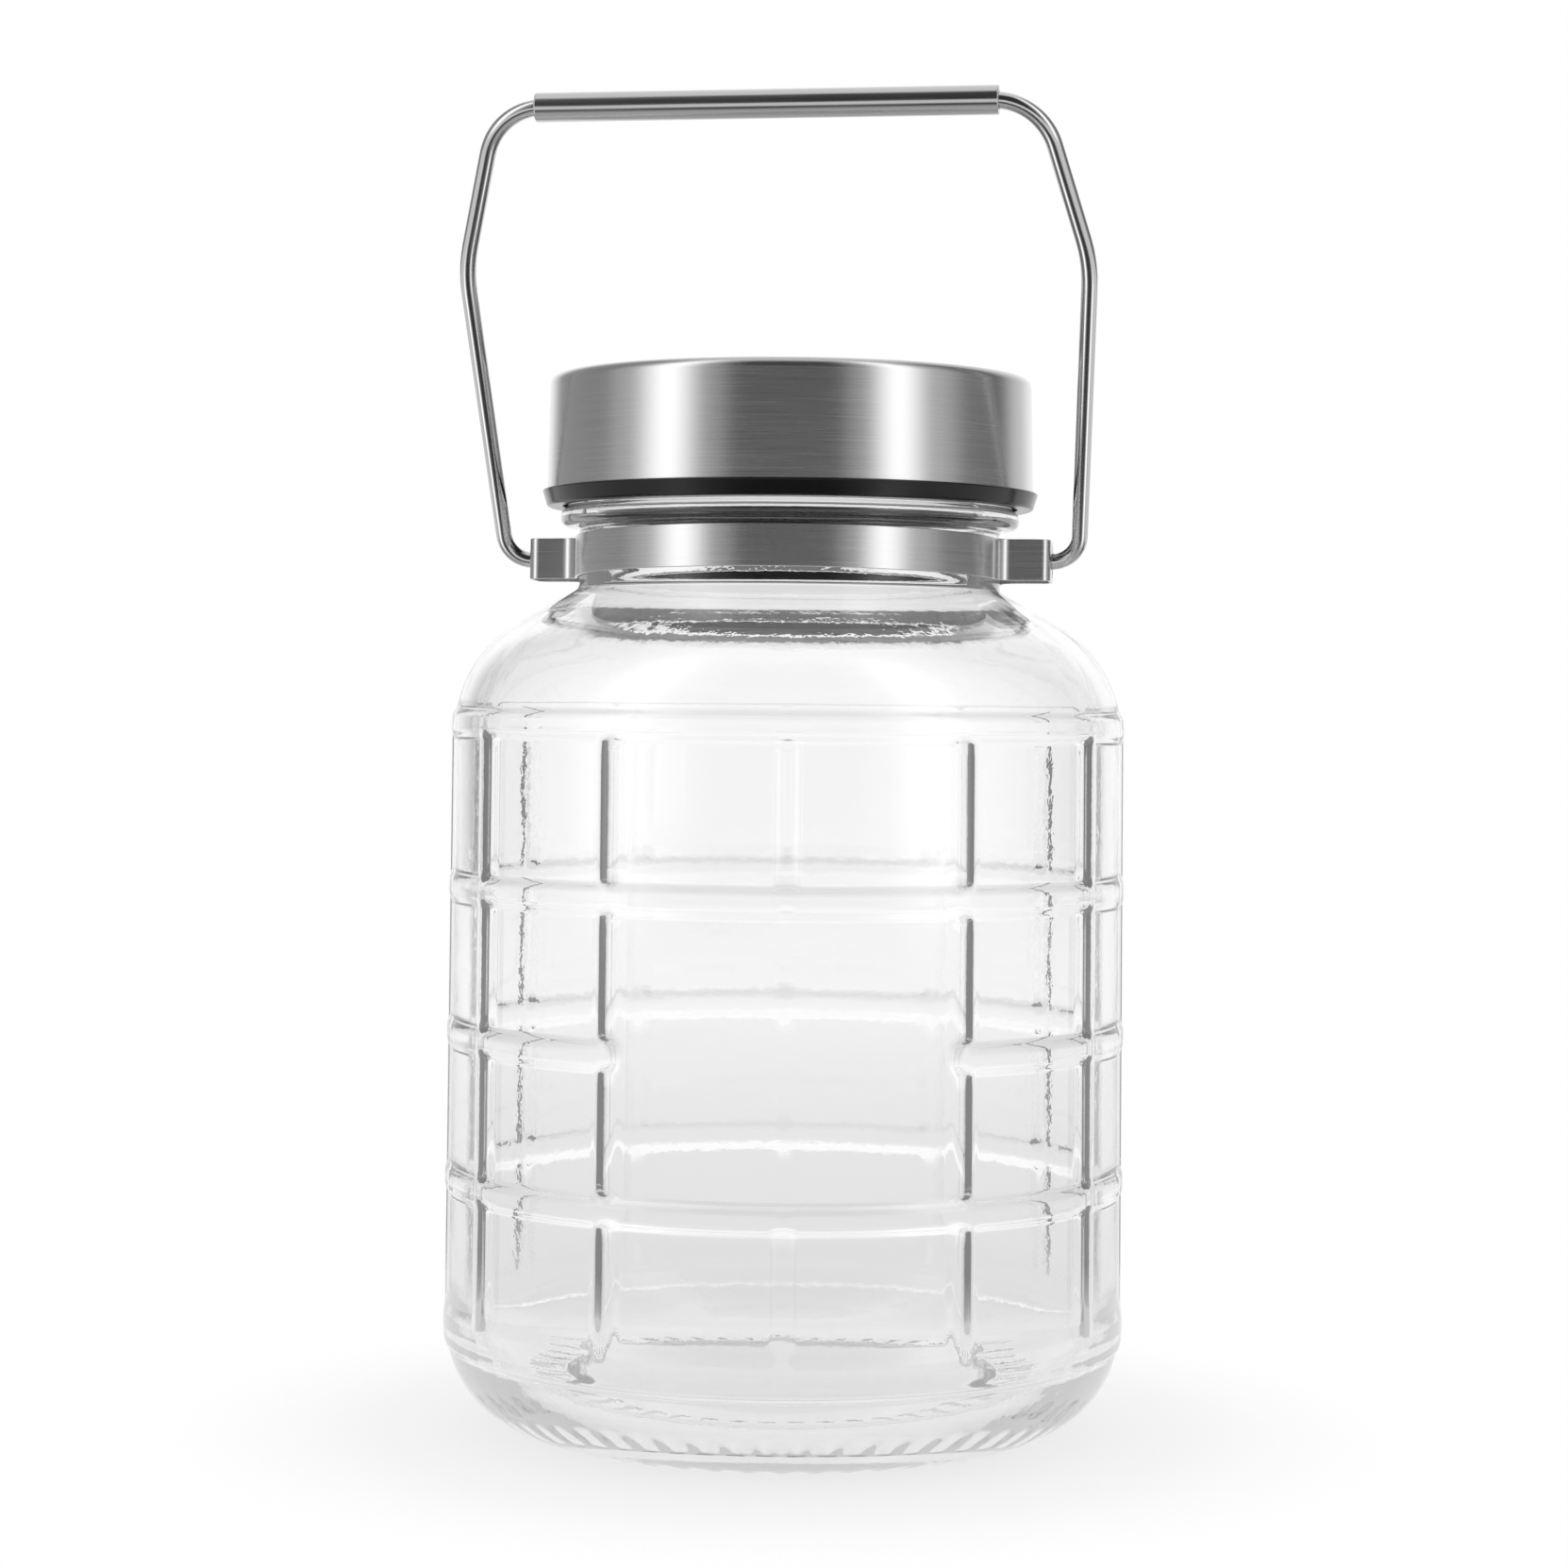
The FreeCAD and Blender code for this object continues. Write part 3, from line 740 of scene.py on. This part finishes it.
    def outside_spacing(self, radius: float, height: float) -> float:
        """Distance between rows outside: fine at rings, foot and mouth, wide between."""
        if radius < self.pushup_radius - 1 * MM and height < 10 * MM:
            return 8 * MM
        if min(abs(height - ring) for ring in self.ring_heights) < self.ring_width / 2 + 0.8 * MM:
            return 0.42 * MM
        if 0 < height - self.ring_heights[-1] < self.ring_width / 2 / self.top_ease + 0.8 * MM:
            return 0.7 * MM
        if height > self.shoulder_top - 3 * MM or radius < self.pushup_radius + 8 * MM:
            return 0.5 * MM
        if height < self.heel_round or height > self.ring_heights[0]:
            return 1.4 * MM
        return 4 * MM

    def inside_spacing(self, radius: float, height: float) -> float:
        """Distance between rows inside."""
        if radius < self.wall_low - self.wall - self.heel_inside:
            return 8 * MM
        if min(abs(height - ring) for ring in self.ring_heights) < self.ring_width / 2 + 0.8 * MM:
            return 0.6 * MM
        return 2.5 * MM if height < self.shoulder_top else 1.0 * MM

    def notch(self, turn: float, radius: float, height: float) -> float:
        """How deep a foot notch is cut at one point.

        Args:
            turn: place round the jar.
            radius: distance from the axis.
            height: height above the base.

        Returns:
            The depth in metres.
        """
        fade = max(0.0, 1 - height / self.notch_top)
        inner = min(1.0, max(0.0, (radius - self.pushup_radius - self.pushup_slope - 1 * MM) / (1 * MM)))
        return self.notch_depth * fade * inner * (0.5 - 0.5 * math.cos(FULL_TURN * self.notches * turn))

    def skin(self) -> Skin:
        """Build the plain wall of glass, still without ribs.

        Returns:
            The closed skin, marked "outside" and "inside" where the ribs press.
        """
        skin = Skin("glass_jar_wall", ("outside", "inside"))
        columns = self.columns()
        fine = even_turns(self.notches * self.points_per_notch)
        outside = respace(self.outside(), self.outside_spacing)
        inside = respace(self.inside(), self.inside_spacing)[1:]
        foot_inner = self.pushup_radius + self.pushup_slope * 0.6
        rows = [(spot, "outside") for spot in outside] + [(spot, "inside") for spot in inside]
        for (radius, height), side in rows:
            if radius <= 0:
                continue
            foot = side == "outside" and radius > foot_inner and height < self.notch_top * 1.3
            turns = fine if foot else columns
            points = [on_circle(radius, turn, height + (self.notch(turn, radius, height) if foot else 0.0))
                      for turn in turns]
            wall = self.heel_round / 3 < height < self.shoulder_top - 8 * MM and radius > self.neck_radius
            share = min(1.0, max(0.0, (height - self.groove_start) / self.groove_fade))
            groove = share * share * (3 - 2 * share)
            started = skin.last is not None
            skin.loop(Loop(points, turns, 1.0, 0.0, {"outside": float(wall and side == "outside"),
                                                     "inside": float(wall and side == "inside") * groove}))
            if not started:
                skin.cap(Vector((0, 0, self.pushup_height)), first=True)
        skin.cap(Vector((0, 0, self.pushup_height + self.floor)), first=False)
        return skin

    def sizes(self) -> dict[str, float]:
        """Sizes that the relief takes, by the names of its inputs."""
        return {"Rib Width": self.rib_width, "Ring Width": self.ring_width, "Rib Rise": self.rib_rise,
                "Ring Rise": self.ring_rise, "Break": 0.0, "Rib Foot": self.rib_foot,
                "Top Ease": self.top_ease, "Blend": self.blend, "Foot Blend": self.foot_blend,
                "Sectors": float(self.sectors), "Radius": self.wall_high, "Unevenness": 0.0,
                **{f"Ring {i + 1}": height for i, height in enumerate(self.ring_heights)}}

    def relief_tree(self) -> NodeTree:
        """Node tree that presses the grid of ribs into a turned wall.

        The tree measures how far each point lies from the nearest vertical rib and the nearest
        ring, gives each a rounded cap, and moves the point out by the higher of the two. The front
        panel has no middle ring and no middle rib. Inside, the same caps push the wall out behind the
        ribs as grooves, which break off near a ring.

        Returns:
            A geometry node tree with its sizes as named inputs.
        """
        tree = bpy.data.node_groups.new("pressed_grid", "GeometryNodeTree")
        tree.interface.new_socket(name="Geometry", in_out="INPUT", socket_type="NodeSocketGeometry")
        for name in self.sizes():
            tree.interface.new_socket(name=name, in_out="INPUT", socket_type="NodeSocketFloat")
        tree.interface.new_socket(name="Side", in_out="INPUT", socket_type="NodeSocketString")
        tree.interface.new_socket(name="Material", in_out="INPUT", socket_type="NodeSocketMaterial")
        tree.interface.new_socket(name="Geometry", in_out="OUTPUT", socket_type="NodeSocketGeometry")
        add = partial(add_node, tree)
        given = add("NodeGroupInput").outputs
        position = add("GeometryNodeInputPosition")
        axes = add("ShaderNodeSeparateXYZ", {0: position}).outputs
        known = {name.replace(" ", "_"): given[name] for name in self.sizes()} | {
            "x": axes[0], "y": axes[1], "z": axes[2], "turn": FULL_TURN, "reach": self.break_reach,
            "power": self.ring_power, "floor": self.cap_floor}
        for line in PRESSED_GRID.split("\n"):
            name, operation, *operands = line.split()
            sources = {i: known[word] if word in known else float(word) for i, word in enumerate(operands)}
            known[name] = add("ShaderNodeMath", sources, operation=operation).outputs[0]
        wobble = add("ShaderNodeTexNoise", {
            "Vector": position, "Scale": 1 / self.uneven_size, "Detail": 2.0})
        uneven = add("ShaderNodeMath", {
            0: wobble, 1: given["Unevenness"], 2: known["relief"]}, operation="MULTIPLY_ADD")
        mark = add("GeometryNodeInputNamedAttribute", {"Name": given["Side"]}, data_type="FLOAT")
        amount = add("ShaderNodeMath", {0: uneven, 1: mark}, operation="MULTIPLY")
        flat = add("ShaderNodeCombineXYZ", {0: axes[0], 1: axes[1], 2: 0.0})
        outwards = add("ShaderNodeVectorMath", {0: flat}, operation="NORMALIZE")
        offset = add("ShaderNodeVectorMath", {0: outwards, "Scale": amount}, operation="SCALE")
        moved = add("GeometryNodeSetPosition", {"Geometry": given["Geometry"], "Offset": offset})
        real = add("GeometryNodeRealizeInstances", {0: moved})
        finished = add("GeometryNodeSetMaterial", {"Geometry": real, "Material": given["Material"]})
        add("NodeGroupOutput", {0: finished})
        return tree

    def build(self, material: Material) -> Object:
        """Make the jar.

        Args:
            material: the glass.

        Returns:
            The finished piece.
        """
        piece = self.skin().piece()
        tree = self.relief_tree()
        names = {item.name: item.identifier for item in tree.interface.items_tree
                 if item.in_out == "INPUT"}
        groove = {"Rib Rise": self.groove_depth, "Ring Rise": 0.0, "Break": 1.0,
                  "Radius": self.wall_high - self.wall, "Unevenness": self.unevenness}
        for side, changes in (("outside", {}), ("inside", groove)):
            press = piece.modifiers.new(f"press_{side}", "NODES")
            press.node_group = tree
            for name, value in {**self.sizes(), **changes, "Side": side, "Material": material}.items():
                press[names[name]] = value
        return realised(piece)


# --- lid
@dataclass
class Lid:
    """The screw lid: a drawn steel cap over a black plastic liner that flares out below it."""

    sheet: float = 0.6 * MM
    top_round: float = 1.8 * MM
    draw_in: float = 0.5 * MM
    flare: float = 1.0 * MM
    lip_round: float = 0.7 * MM
    thread_gap: float = 1.0 * MM
    play: float = 0.05 * MM
    columns: int = 288

    def shell(self) -> Object:
        """Make the steel cap."""
        low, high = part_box("lid_shell")
        radius = high.x
        top_radius = radius - self.draw_in
        corners = [
            (0.0, high.z), (top_radius, high.z), (radius, low.z), (radius - self.sheet, low.z),
            (top_radius - self.sheet, high.z - self.sheet), (0.0, high.z - self.sheet)]
        radii = [self.top_round, 0.15 * MM, 0.15 * MM, self.top_round - self.sheet]
        profile = rounded(corners, radii, arc_degrees=9)[::-1]
        return turned("lid_shell_cap", profile, even_turns(self.columns)).piece()

    def liner(self, jar: GlassJar) -> Object:
        """Make the black liner."""
        low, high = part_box("lid_liner")
        shell_low, shell_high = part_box("lid_shell")
        rim = high.z - (shell_high.z - shell_low.z) * 0.1
        bore = jar.finish_radius + self.thread_gap
        inner = shell_high.x - self.sheet - self.play
        corners = [
            (0.0, rim), (bore, rim), (bore, low.z), (high.x - self.flare, low.z), (high.x, shell_low.z),
            (inner, shell_low.z), (inner - self.draw_in, high.z), (0.0, high.z)]
        radii = [0.5 * MM, 0.3 * MM, self.lip_round, 0.25 * MM, 0.1 * MM, self.top_round]
        profile = rounded(corners, radii, arc_degrees=12)
        return turned("lid_liner_ring", profile, even_turns(self.columns)).piece()


# --- neck strip
@dataclass
class NeckStrip:
    """The steel strip bent round the neck, with two hollow ears that hold the bail."""

    height: float = 8.2 * MM
    sheet: float = 0.6 * MM
    play: float = 0.25 * MM
    tilt: float = math.radians(1.8)
    ear_reach: float = 52.8 * MM
    ear_width: float = 9.4 * MM
    ear_corner: float = 2.2 * MM
    ear_fillet: float = 3.2 * MM
    edge_round: float = 0.12 * MM
    bore_radius: float = 1.68 * MM
    bore_reach: float = 80 * MM

    def plan(self, neck_radius: float) -> list[Vector]:
        """Middle line of the strip seen from above, once round.

        Args:
            neck_radius: the glass neck's radius.

        Returns:
            Points of the closed line, in the strip's own turn.
        """
        radius = neck_radius + self.play + self.sheet / 2
        half, reach = (self.ear_width - self.sheet) / 2, self.ear_reach - self.sheet / 2
        fillet = self.ear_fillet + self.sheet / 2
        swing = math.asin((half + fillet) / (radius + fillet))
        root = (radius + fillet) * math.cos(swing)
        quarter = [(reach, 0.0)]
        corner = self.ear_corner - self.sheet / 2
        quarter += rounded([(reach, 0.0), (reach, half), (root - 1 * MM, half)], [corner], 8)[1:-1]
        steps = 9
        for step in range(steps + 1):
            angle = -math.pi / 2 - (math.pi / 2 - swing) * step / steps
            quarter.append((root + fillet * math.cos(angle), half + fillet + fillet * math.sin(angle)))
        sweep = math.pi / 2 - swing
        steps = 40
        quarter += [(radius * math.cos(swing + sweep * step / steps),
                     radius * math.sin(swing + sweep * step / steps)) for step in range(1, steps + 1)]
        half_line = quarter + [(-x, y) for x, y in quarter[-2::-1]]
        whole = half_line + [(x, -y) for x, y in half_line[-2:0:-1]]
        return [Vector((x, y, 0)) for x, y in whole]

    def build(self, hinge: "Hinge", neck_radius: float) -> Object:
        """Make the strip.

        Args:
            hinge: the bail's pivot, which the ears carry.
            neck_radius: the glass neck's radius.

        Returns:
            The finished piece.
        """
        w, t, r = self.height / 2, self.sheet / 2, self.edge_round
        corners = [(0.0, -w), (t, -w), (t, w), (-t, w), (-t, -w), (0.0, -w)]
        section = rounded(corners, [r] * 4, 30, 0.05 * MM)[:-1]
        strip = swept("neck_strip", self.plan(neck_radius), section, Vector((0, 0, 1)), closed=True).piece()
        end, radius = self.bore_reach, self.bore_radius
        bore = turned("ear_bore", [(0.0, -end), (radius, -end), (radius, end), (0.0, end)],
                      even_turns(32)).piece()
        bore.data.transform(Matrix.Rotation(math.pi / 2, 4, "Y"))
        cut = strip.modifiers.new("bore", "BOOLEAN")
        cut.object, cut.solver, cut.operation = bore, "EXACT", "DIFFERENCE"
        realised(strip)
        bpy.data.objects.remove(bore)
        for face in strip.data.polygons:
            outwards = face.normal.x * face.center.x + face.normal.y * face.center.y
            face.material_index = int(outwards < -abs(face.normal.z) * face.center.length)
        strip.data.transform(hinge.matrix(-self.tilt))
        return strip


# --- bail
@dataclass
class Hinge:
    """The bail's pivot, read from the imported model."""

    centre: Vector
    axis: Vector

    def matrix(self, lean: float) -> Matrix:
        """Place of a thing made upright on the X axis and leant towards the front.

        Args:
            lean: angle about the pivot axis, positive towards the front.

        Returns:
            The matrix that takes it to its place.
        """
        turn = Matrix.Rotation(math.atan2(self.axis.y, self.axis.x), 4, "Z")
        return Matrix.Translation(self.centre) @ turn @ Matrix.Rotation(lean, 4, "X")


@dataclass
class Bail:
    """The wire bail with its tube grip."""

    wire: float = 1.6 * MM
    lean: float = math.radians(22.5)
    end_reach: float = 49.6 * MM
    foot_reach: float = 58.13 * MM
    foot_bend: float = 5.6 * MM
    knee: tuple[float, float] = (61.43 * MM, 61.0 * MM)
    knee_bend: float = 30.0 * MM
    head: tuple[float, float] = (52.61 * MM, 92.7 * MM)
    head_bend: float = 12.0 * MM
    grip_radius: float = 2.8 * MM
    grip_length: float = 89.5 * MM
    grip_bore: float = 1.8 * MM
    grip_edge: float = 0.25 * MM

    def wire_piece(self, hinge: Hinge) -> Object:
        """Make the wire.

        Args:
            hinge: the bail's pivot.

        Returns:
            The finished piece.
        """
        right = [(self.end_reach, 0.0), (self.foot_reach, 0.0), self.knee, self.head]
        corners = right + [(-x, y) for x, y in reversed(right)]
        bends = [self.foot_bend, self.knee_bend, self.head_bend]
        flat = rounded(corners, bends + bends[::-1], arc_degrees=4)
        spine = [Vector((x, 0, z)) for x, z in respace(flat, lambda x, z: 0.9 * MM)]
        circle = [on_circle(self.wire, turn, 0.0).xy for turn in even_turns(28)]
        piece = swept("bail_wire", spine, circle, Vector((0, 1, 0)), closed=False).piece()
        piece.data.transform(hinge.matrix(self.lean))
        return piece

    def grip_piece(self, hinge: Hinge) -> Object:
        """Make the tube grip.

        Args:
            hinge: the bail's pivot.

        Returns:
            The finished piece.
        """
        half, r = self.grip_length / 2, self.grip_edge
        corners = [(self.grip_radius, 0.0), (self.grip_radius, half), (self.grip_bore, half),
                   (self.grip_bore, -half), (self.grip_radius, -half), (self.grip_radius, 0.0)]
        profile = rounded(corners, [r] * 4, 20, 0.1 * MM)
        skin = turned("grip_tube", profile, even_turns(56))
        bmesh.ops.remove_doubles(skin.bm, verts=skin.bm.verts, dist=MERGE)
        piece = skin.piece()
        turn = Matrix.Translation(Vector((0, 0, self.head[1]))) @ Matrix.Rotation(math.pi / 2, 4, "Y")
        piece.data.transform(hinge.matrix(self.lean) @ turn)
        return piece


# --- studio
@dataclass
class Studio:
    """A white sweep behind, two soft strip lights beside the camera and dark room between them."""

    eye: Vector = field(default_factory=lambda: Vector((-0.0007, -0.7161, 0.1441)))
    lens: float = 81.64
    pitch: float = math.radians(1.207)
    roll: float = math.radians(0.55)
    floor_radius: float = 2.5
    floor_tone: str = "fbfbfb"
    # From the jar's foot outwards the paper fades to plain white.
    paper_fade: tuple[float, float] = (0.068, 0.13)
    # Seen through glass, the floor glows darker near the jar than far off: painted shade.
    near_floor_shade_level: float = 0.77
    near_floor_span: tuple[float, float] = (0.1, 1.1)
    # Levels of the room, fitted by trial to how bright metal and glass look, not measured from lamps.
    diffuse_level: float = 1.0
    ceiling_level: float = 0.95
    table_level: float = 0.55
    sweep_level: float = 0.92
    lift_through_glass: float = 0.35
    # Where each fades in, by the upward part of the direction from the jar.
    ceiling_fade: tuple[float, float] = (0.82, 0.97)
    table_fade: tuple[float, float] = (-0.62, -0.85)
    sweep_top: tuple[float, float] = (-0.03, -0.07)
    sweep_bottom: tuple[float, float] = (-0.5, -0.4)
    # Level of the walls by direction, in degrees from the camera's side, right positive.
    stops: tuple[tuple[float, float], ...] = (
        (-180, 1.13), (-160, 1.08), (-138, 0.38), (-102, 0.31), (-84, 0.60), (-60, 2.15), (-38, 0.42),
        (-24, 0.045), (20, 0.045), (32, 0.38), (52, 2.15), (72, 0.66), (96, 0.20), (114, 0.17),
        (136, 0.80), (155, 1.08), (180, 1.13))

    def room(self) -> None:
        """Light the world: plain white to the camera, even to matt surfaces, a studio to glass and metal.

        The studio has walls that are bright or dark by direction, a pale ceiling overhead, and below
        a sweep and a table, which stand in for the floor that mirrored rays pass through.
        """
        world = bpy.data.worlds.new("studio")
        bpy.context.scene.world = world
        world.use_nodes = True
        world.node_tree.nodes.clear()
        add = partial(add_node, world.node_tree)
        way = add("ShaderNodeTexCoord").outputs
        axes = add("ShaderNodeSeparateXYZ", {0: way["Generated"]}).outputs
        path = add("ShaderNodeLightPath").outputs
        back = add("ShaderNodeMath", {0: axes[1], 1: -1.0}, operation="MULTIPLY")
        angle = add("ShaderNodeMath", {0: axes[0], 1: back}, operation="ARCTAN2")
        place = add("ShaderNodeMapRange", {"Value": angle, "From Min": -math.pi, "From Max": math.pi})
        ramp = add("ShaderNodeValToRGB", {0: place})
        bright = max(level for _, level in self.stops)
        elements = ramp.color_ramp.elements
        ramp.color_ramp.interpolation = "EASE"
        elements.remove(elements[1])
        for number, (azimuth, level) in enumerate(self.stops):
            where = (azimuth + 180) / 360
            element = elements[0] if number == 0 else elements.new(where)
            element.position = where
            element.color = (level / bright,) * 3 + (1.0,)
        shader = add("ShaderNodeBackground", {"Color": ramp, "Strength": bright})
        fades = [add("ShaderNodeMapRange", {
            "Value": axes[2], "From Min": start, "From Max": end}, interpolation_type="SMOOTHSTEP")
            for start, end in (self.ceiling_fade, self.table_fade, self.sweep_top, self.sweep_bottom)]
        sweep = add("ShaderNodeMath", {0: fades[2], 1: fades[3]}, operation="MULTIPLY")
        through = add("ShaderNodeMath", {
            0: path["Is Transmission Ray"], 1: self.lift_through_glass}, operation="MULTIPLY")
        for share, level in (
                (fades[0], self.ceiling_level), (fades[1], self.table_level), (sweep, self.sweep_level),
                (through, 1.0), (path["Is Diffuse Ray"], self.diffuse_level), (path["Is Camera Ray"], 1.0)):
            plain = add("ShaderNodeBackground", {"Color": WHITE, "Strength": level})
            shader = add("ShaderNodeMixShader", {0: share, 1: shader, 2: plain})
        add("ShaderNodeOutputWorld", {"Surface": shader})

    def floor(self) -> None:
        """Lay the floor: white paper that keeps the jar's shadow and fades to plain white.

        Past the fade, mirrored rays pass through it and see the room's lower half instead. A ray
        through clear glass counts as glossy and as transmitted, so a mirrored ray is one that is
        glossy but not transmitted.
        """
        profile = [(self.floor_radius * share, 0.0) for share in (0.0, 0.1, 0.3, 1.0)]
        floor = turned("floor", profile, even_turns(96)).piece()
        floor.location.z = -0.05 * MM
        material, add, place = new_material("white_paper_sweep")
        away = add("ShaderNodeVectorMath", {0: place["Object"]}, operation="LENGTH")
        distance = away.outputs["Value"]
        foot, plain = self.paper_fade
        fade = add("ShaderNodeMapRange", {"Value": distance, "From Min": foot, "From Max": plain},
                   interpolation_type="SMOOTHSTEP")
        paper = add("ShaderNodeBsdfDiffuse", {"Color": linear(self.floor_tone)})
        path = add("ShaderNodeLightPath").outputs
        near, far = self.near_floor_span
        # Painted shade: the floor's glow, seen through glass, darkens towards the jar.
        near_shade_ramp = add("ShaderNodeMapRange", {
            "Value": distance, "From Min": near, "From Max": far, "To Min": self.near_floor_shade_level})
        level = add("ShaderNodeMath", {0: near_shade_ramp, 1: path["Is Camera Ray"]}, operation="MAXIMUM")
        white = add("ShaderNodeEmission", {"Color": WHITE, "Strength": level})
        seen = add("ShaderNodeMath", {
            0: path["Is Camera Ray"], 1: path["Is Transmission Ray"]}, operation="MAXIMUM")
        direct = add("ShaderNodeMath", {0: fade, 1: seen}, operation="MULTIPLY")
        mix = add("ShaderNodeMixShader", {0: direct, 1: paper, 2: white})
        open_room = add("ShaderNodeBsdfTransparent")
        mirrored = add("ShaderNodeMath", {
            0: path["Is Glossy Ray"], 1: path["Is Transmission Ray"]}, operation="GREATER_THAN")
        past_edge = add("ShaderNodeMath", {0: mirrored, 1: fade}, operation="MULTIPLY")
        whole = add("ShaderNodeMixShader", {0: past_edge, 1: mix, 2: open_room})
        add("ShaderNodeOutputMaterial", {"Surface": whole})
        floor.data.materials.append(material)

    def camera(self) -> None:
        """Set the camera in front of the label panel, a little above mid height."""
        data = bpy.data.cameras.new("camera")
        data.lens, data.sensor_width, data.sensor_height = self.lens, 36.0, 36.0
        camera = bpy.data.objects.new("camera", data)
        bpy.context.scene.collection.objects.link(camera)
        aim = Matrix.Rotation(math.pi / 2 - self.pitch, 4, "X") @ Matrix.Rotation(self.roll, 4, "Z")
        camera.matrix_world = Matrix.Translation(self.eye) @ aim
        bpy.context.scene.camera = camera

    def build(self) -> None:
        """Set up room, floor, camera and the plain view transform."""
        self.room()
        self.floor()
        self.camera()
        bpy.context.scene.view_settings.view_transform = "Standard"


def main() -> None:
    """Build every piece, dress it and light the scene."""
    logging.basicConfig(level=logging.INFO, format="%(name)s: %(message)s")
    joint = frame["joints"][0]
    hinge = Hinge(Vector(joint["pos_m"]), Vector(joint["axis"]))
    turn = math.atan2(hinge.axis.y, hinge.axis.x)
    glass = PressedGlass().material()
    lid_steel = Steel("steel_brushed_round_the_lid").material()
    strip_steel = Steel("steel_brushed_along_the_strip", brushing=Brushing.ALONG_THE_SWEEP).material()
    # The strip's inner faces are as rolled, so the eye sees them matt and pale through the glass.
    mill_steel = Steel("steel_rolled_mill_finish", colour="e6e6e6", roughness=0.9,
                       anisotropy=0.0).material()
    bail = Bail()
    # Ground and drawn steel: the eye sees long clean reflections along the tube and the wire.
    grip_steel = Steel("steel_ground_grip_tube", roughness=0.2, anisotropy=0.0, streak_width=0.3 * MM,
                       turn=(bail.lean, 0.0, turn), centre=tuple(hinge.centre)).material()
    wire_steel = Steel("steel_drawn_bright_wire", roughness=0.15, anisotropy=0.0, streak_tone=0.05,
                       streak_length=6 * MM, streak_depth=0.0005 * MM).material()
    plastic = MouldedPlastic().material()

    jar = GlassJar(rim=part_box("glass_jar")[1].z)
    dress(jar.build(glass), [glass], Body.JAR, "glass_jar")
    lid = Lid()
    dress(lid.shell(), [lid_steel], Body.JAR, "lid_shell")
    dress(lid.liner(jar), [plastic], Body.JAR, "lid_liner")
    strip = NeckStrip()
    dress(strip.build(hinge, jar.neck_radius), [strip_steel, mill_steel], Body.JAR, "neck_band")
    dress(bail.wire_piece(hinge), [wire_steel], Body.HANDLE, "handle_wire")
    dress(bail.grip_piece(hinge), [grip_steel], Body.HANDLE, "handle_grip")

    Studio().build()


if __name__ == "__main__":
    main()
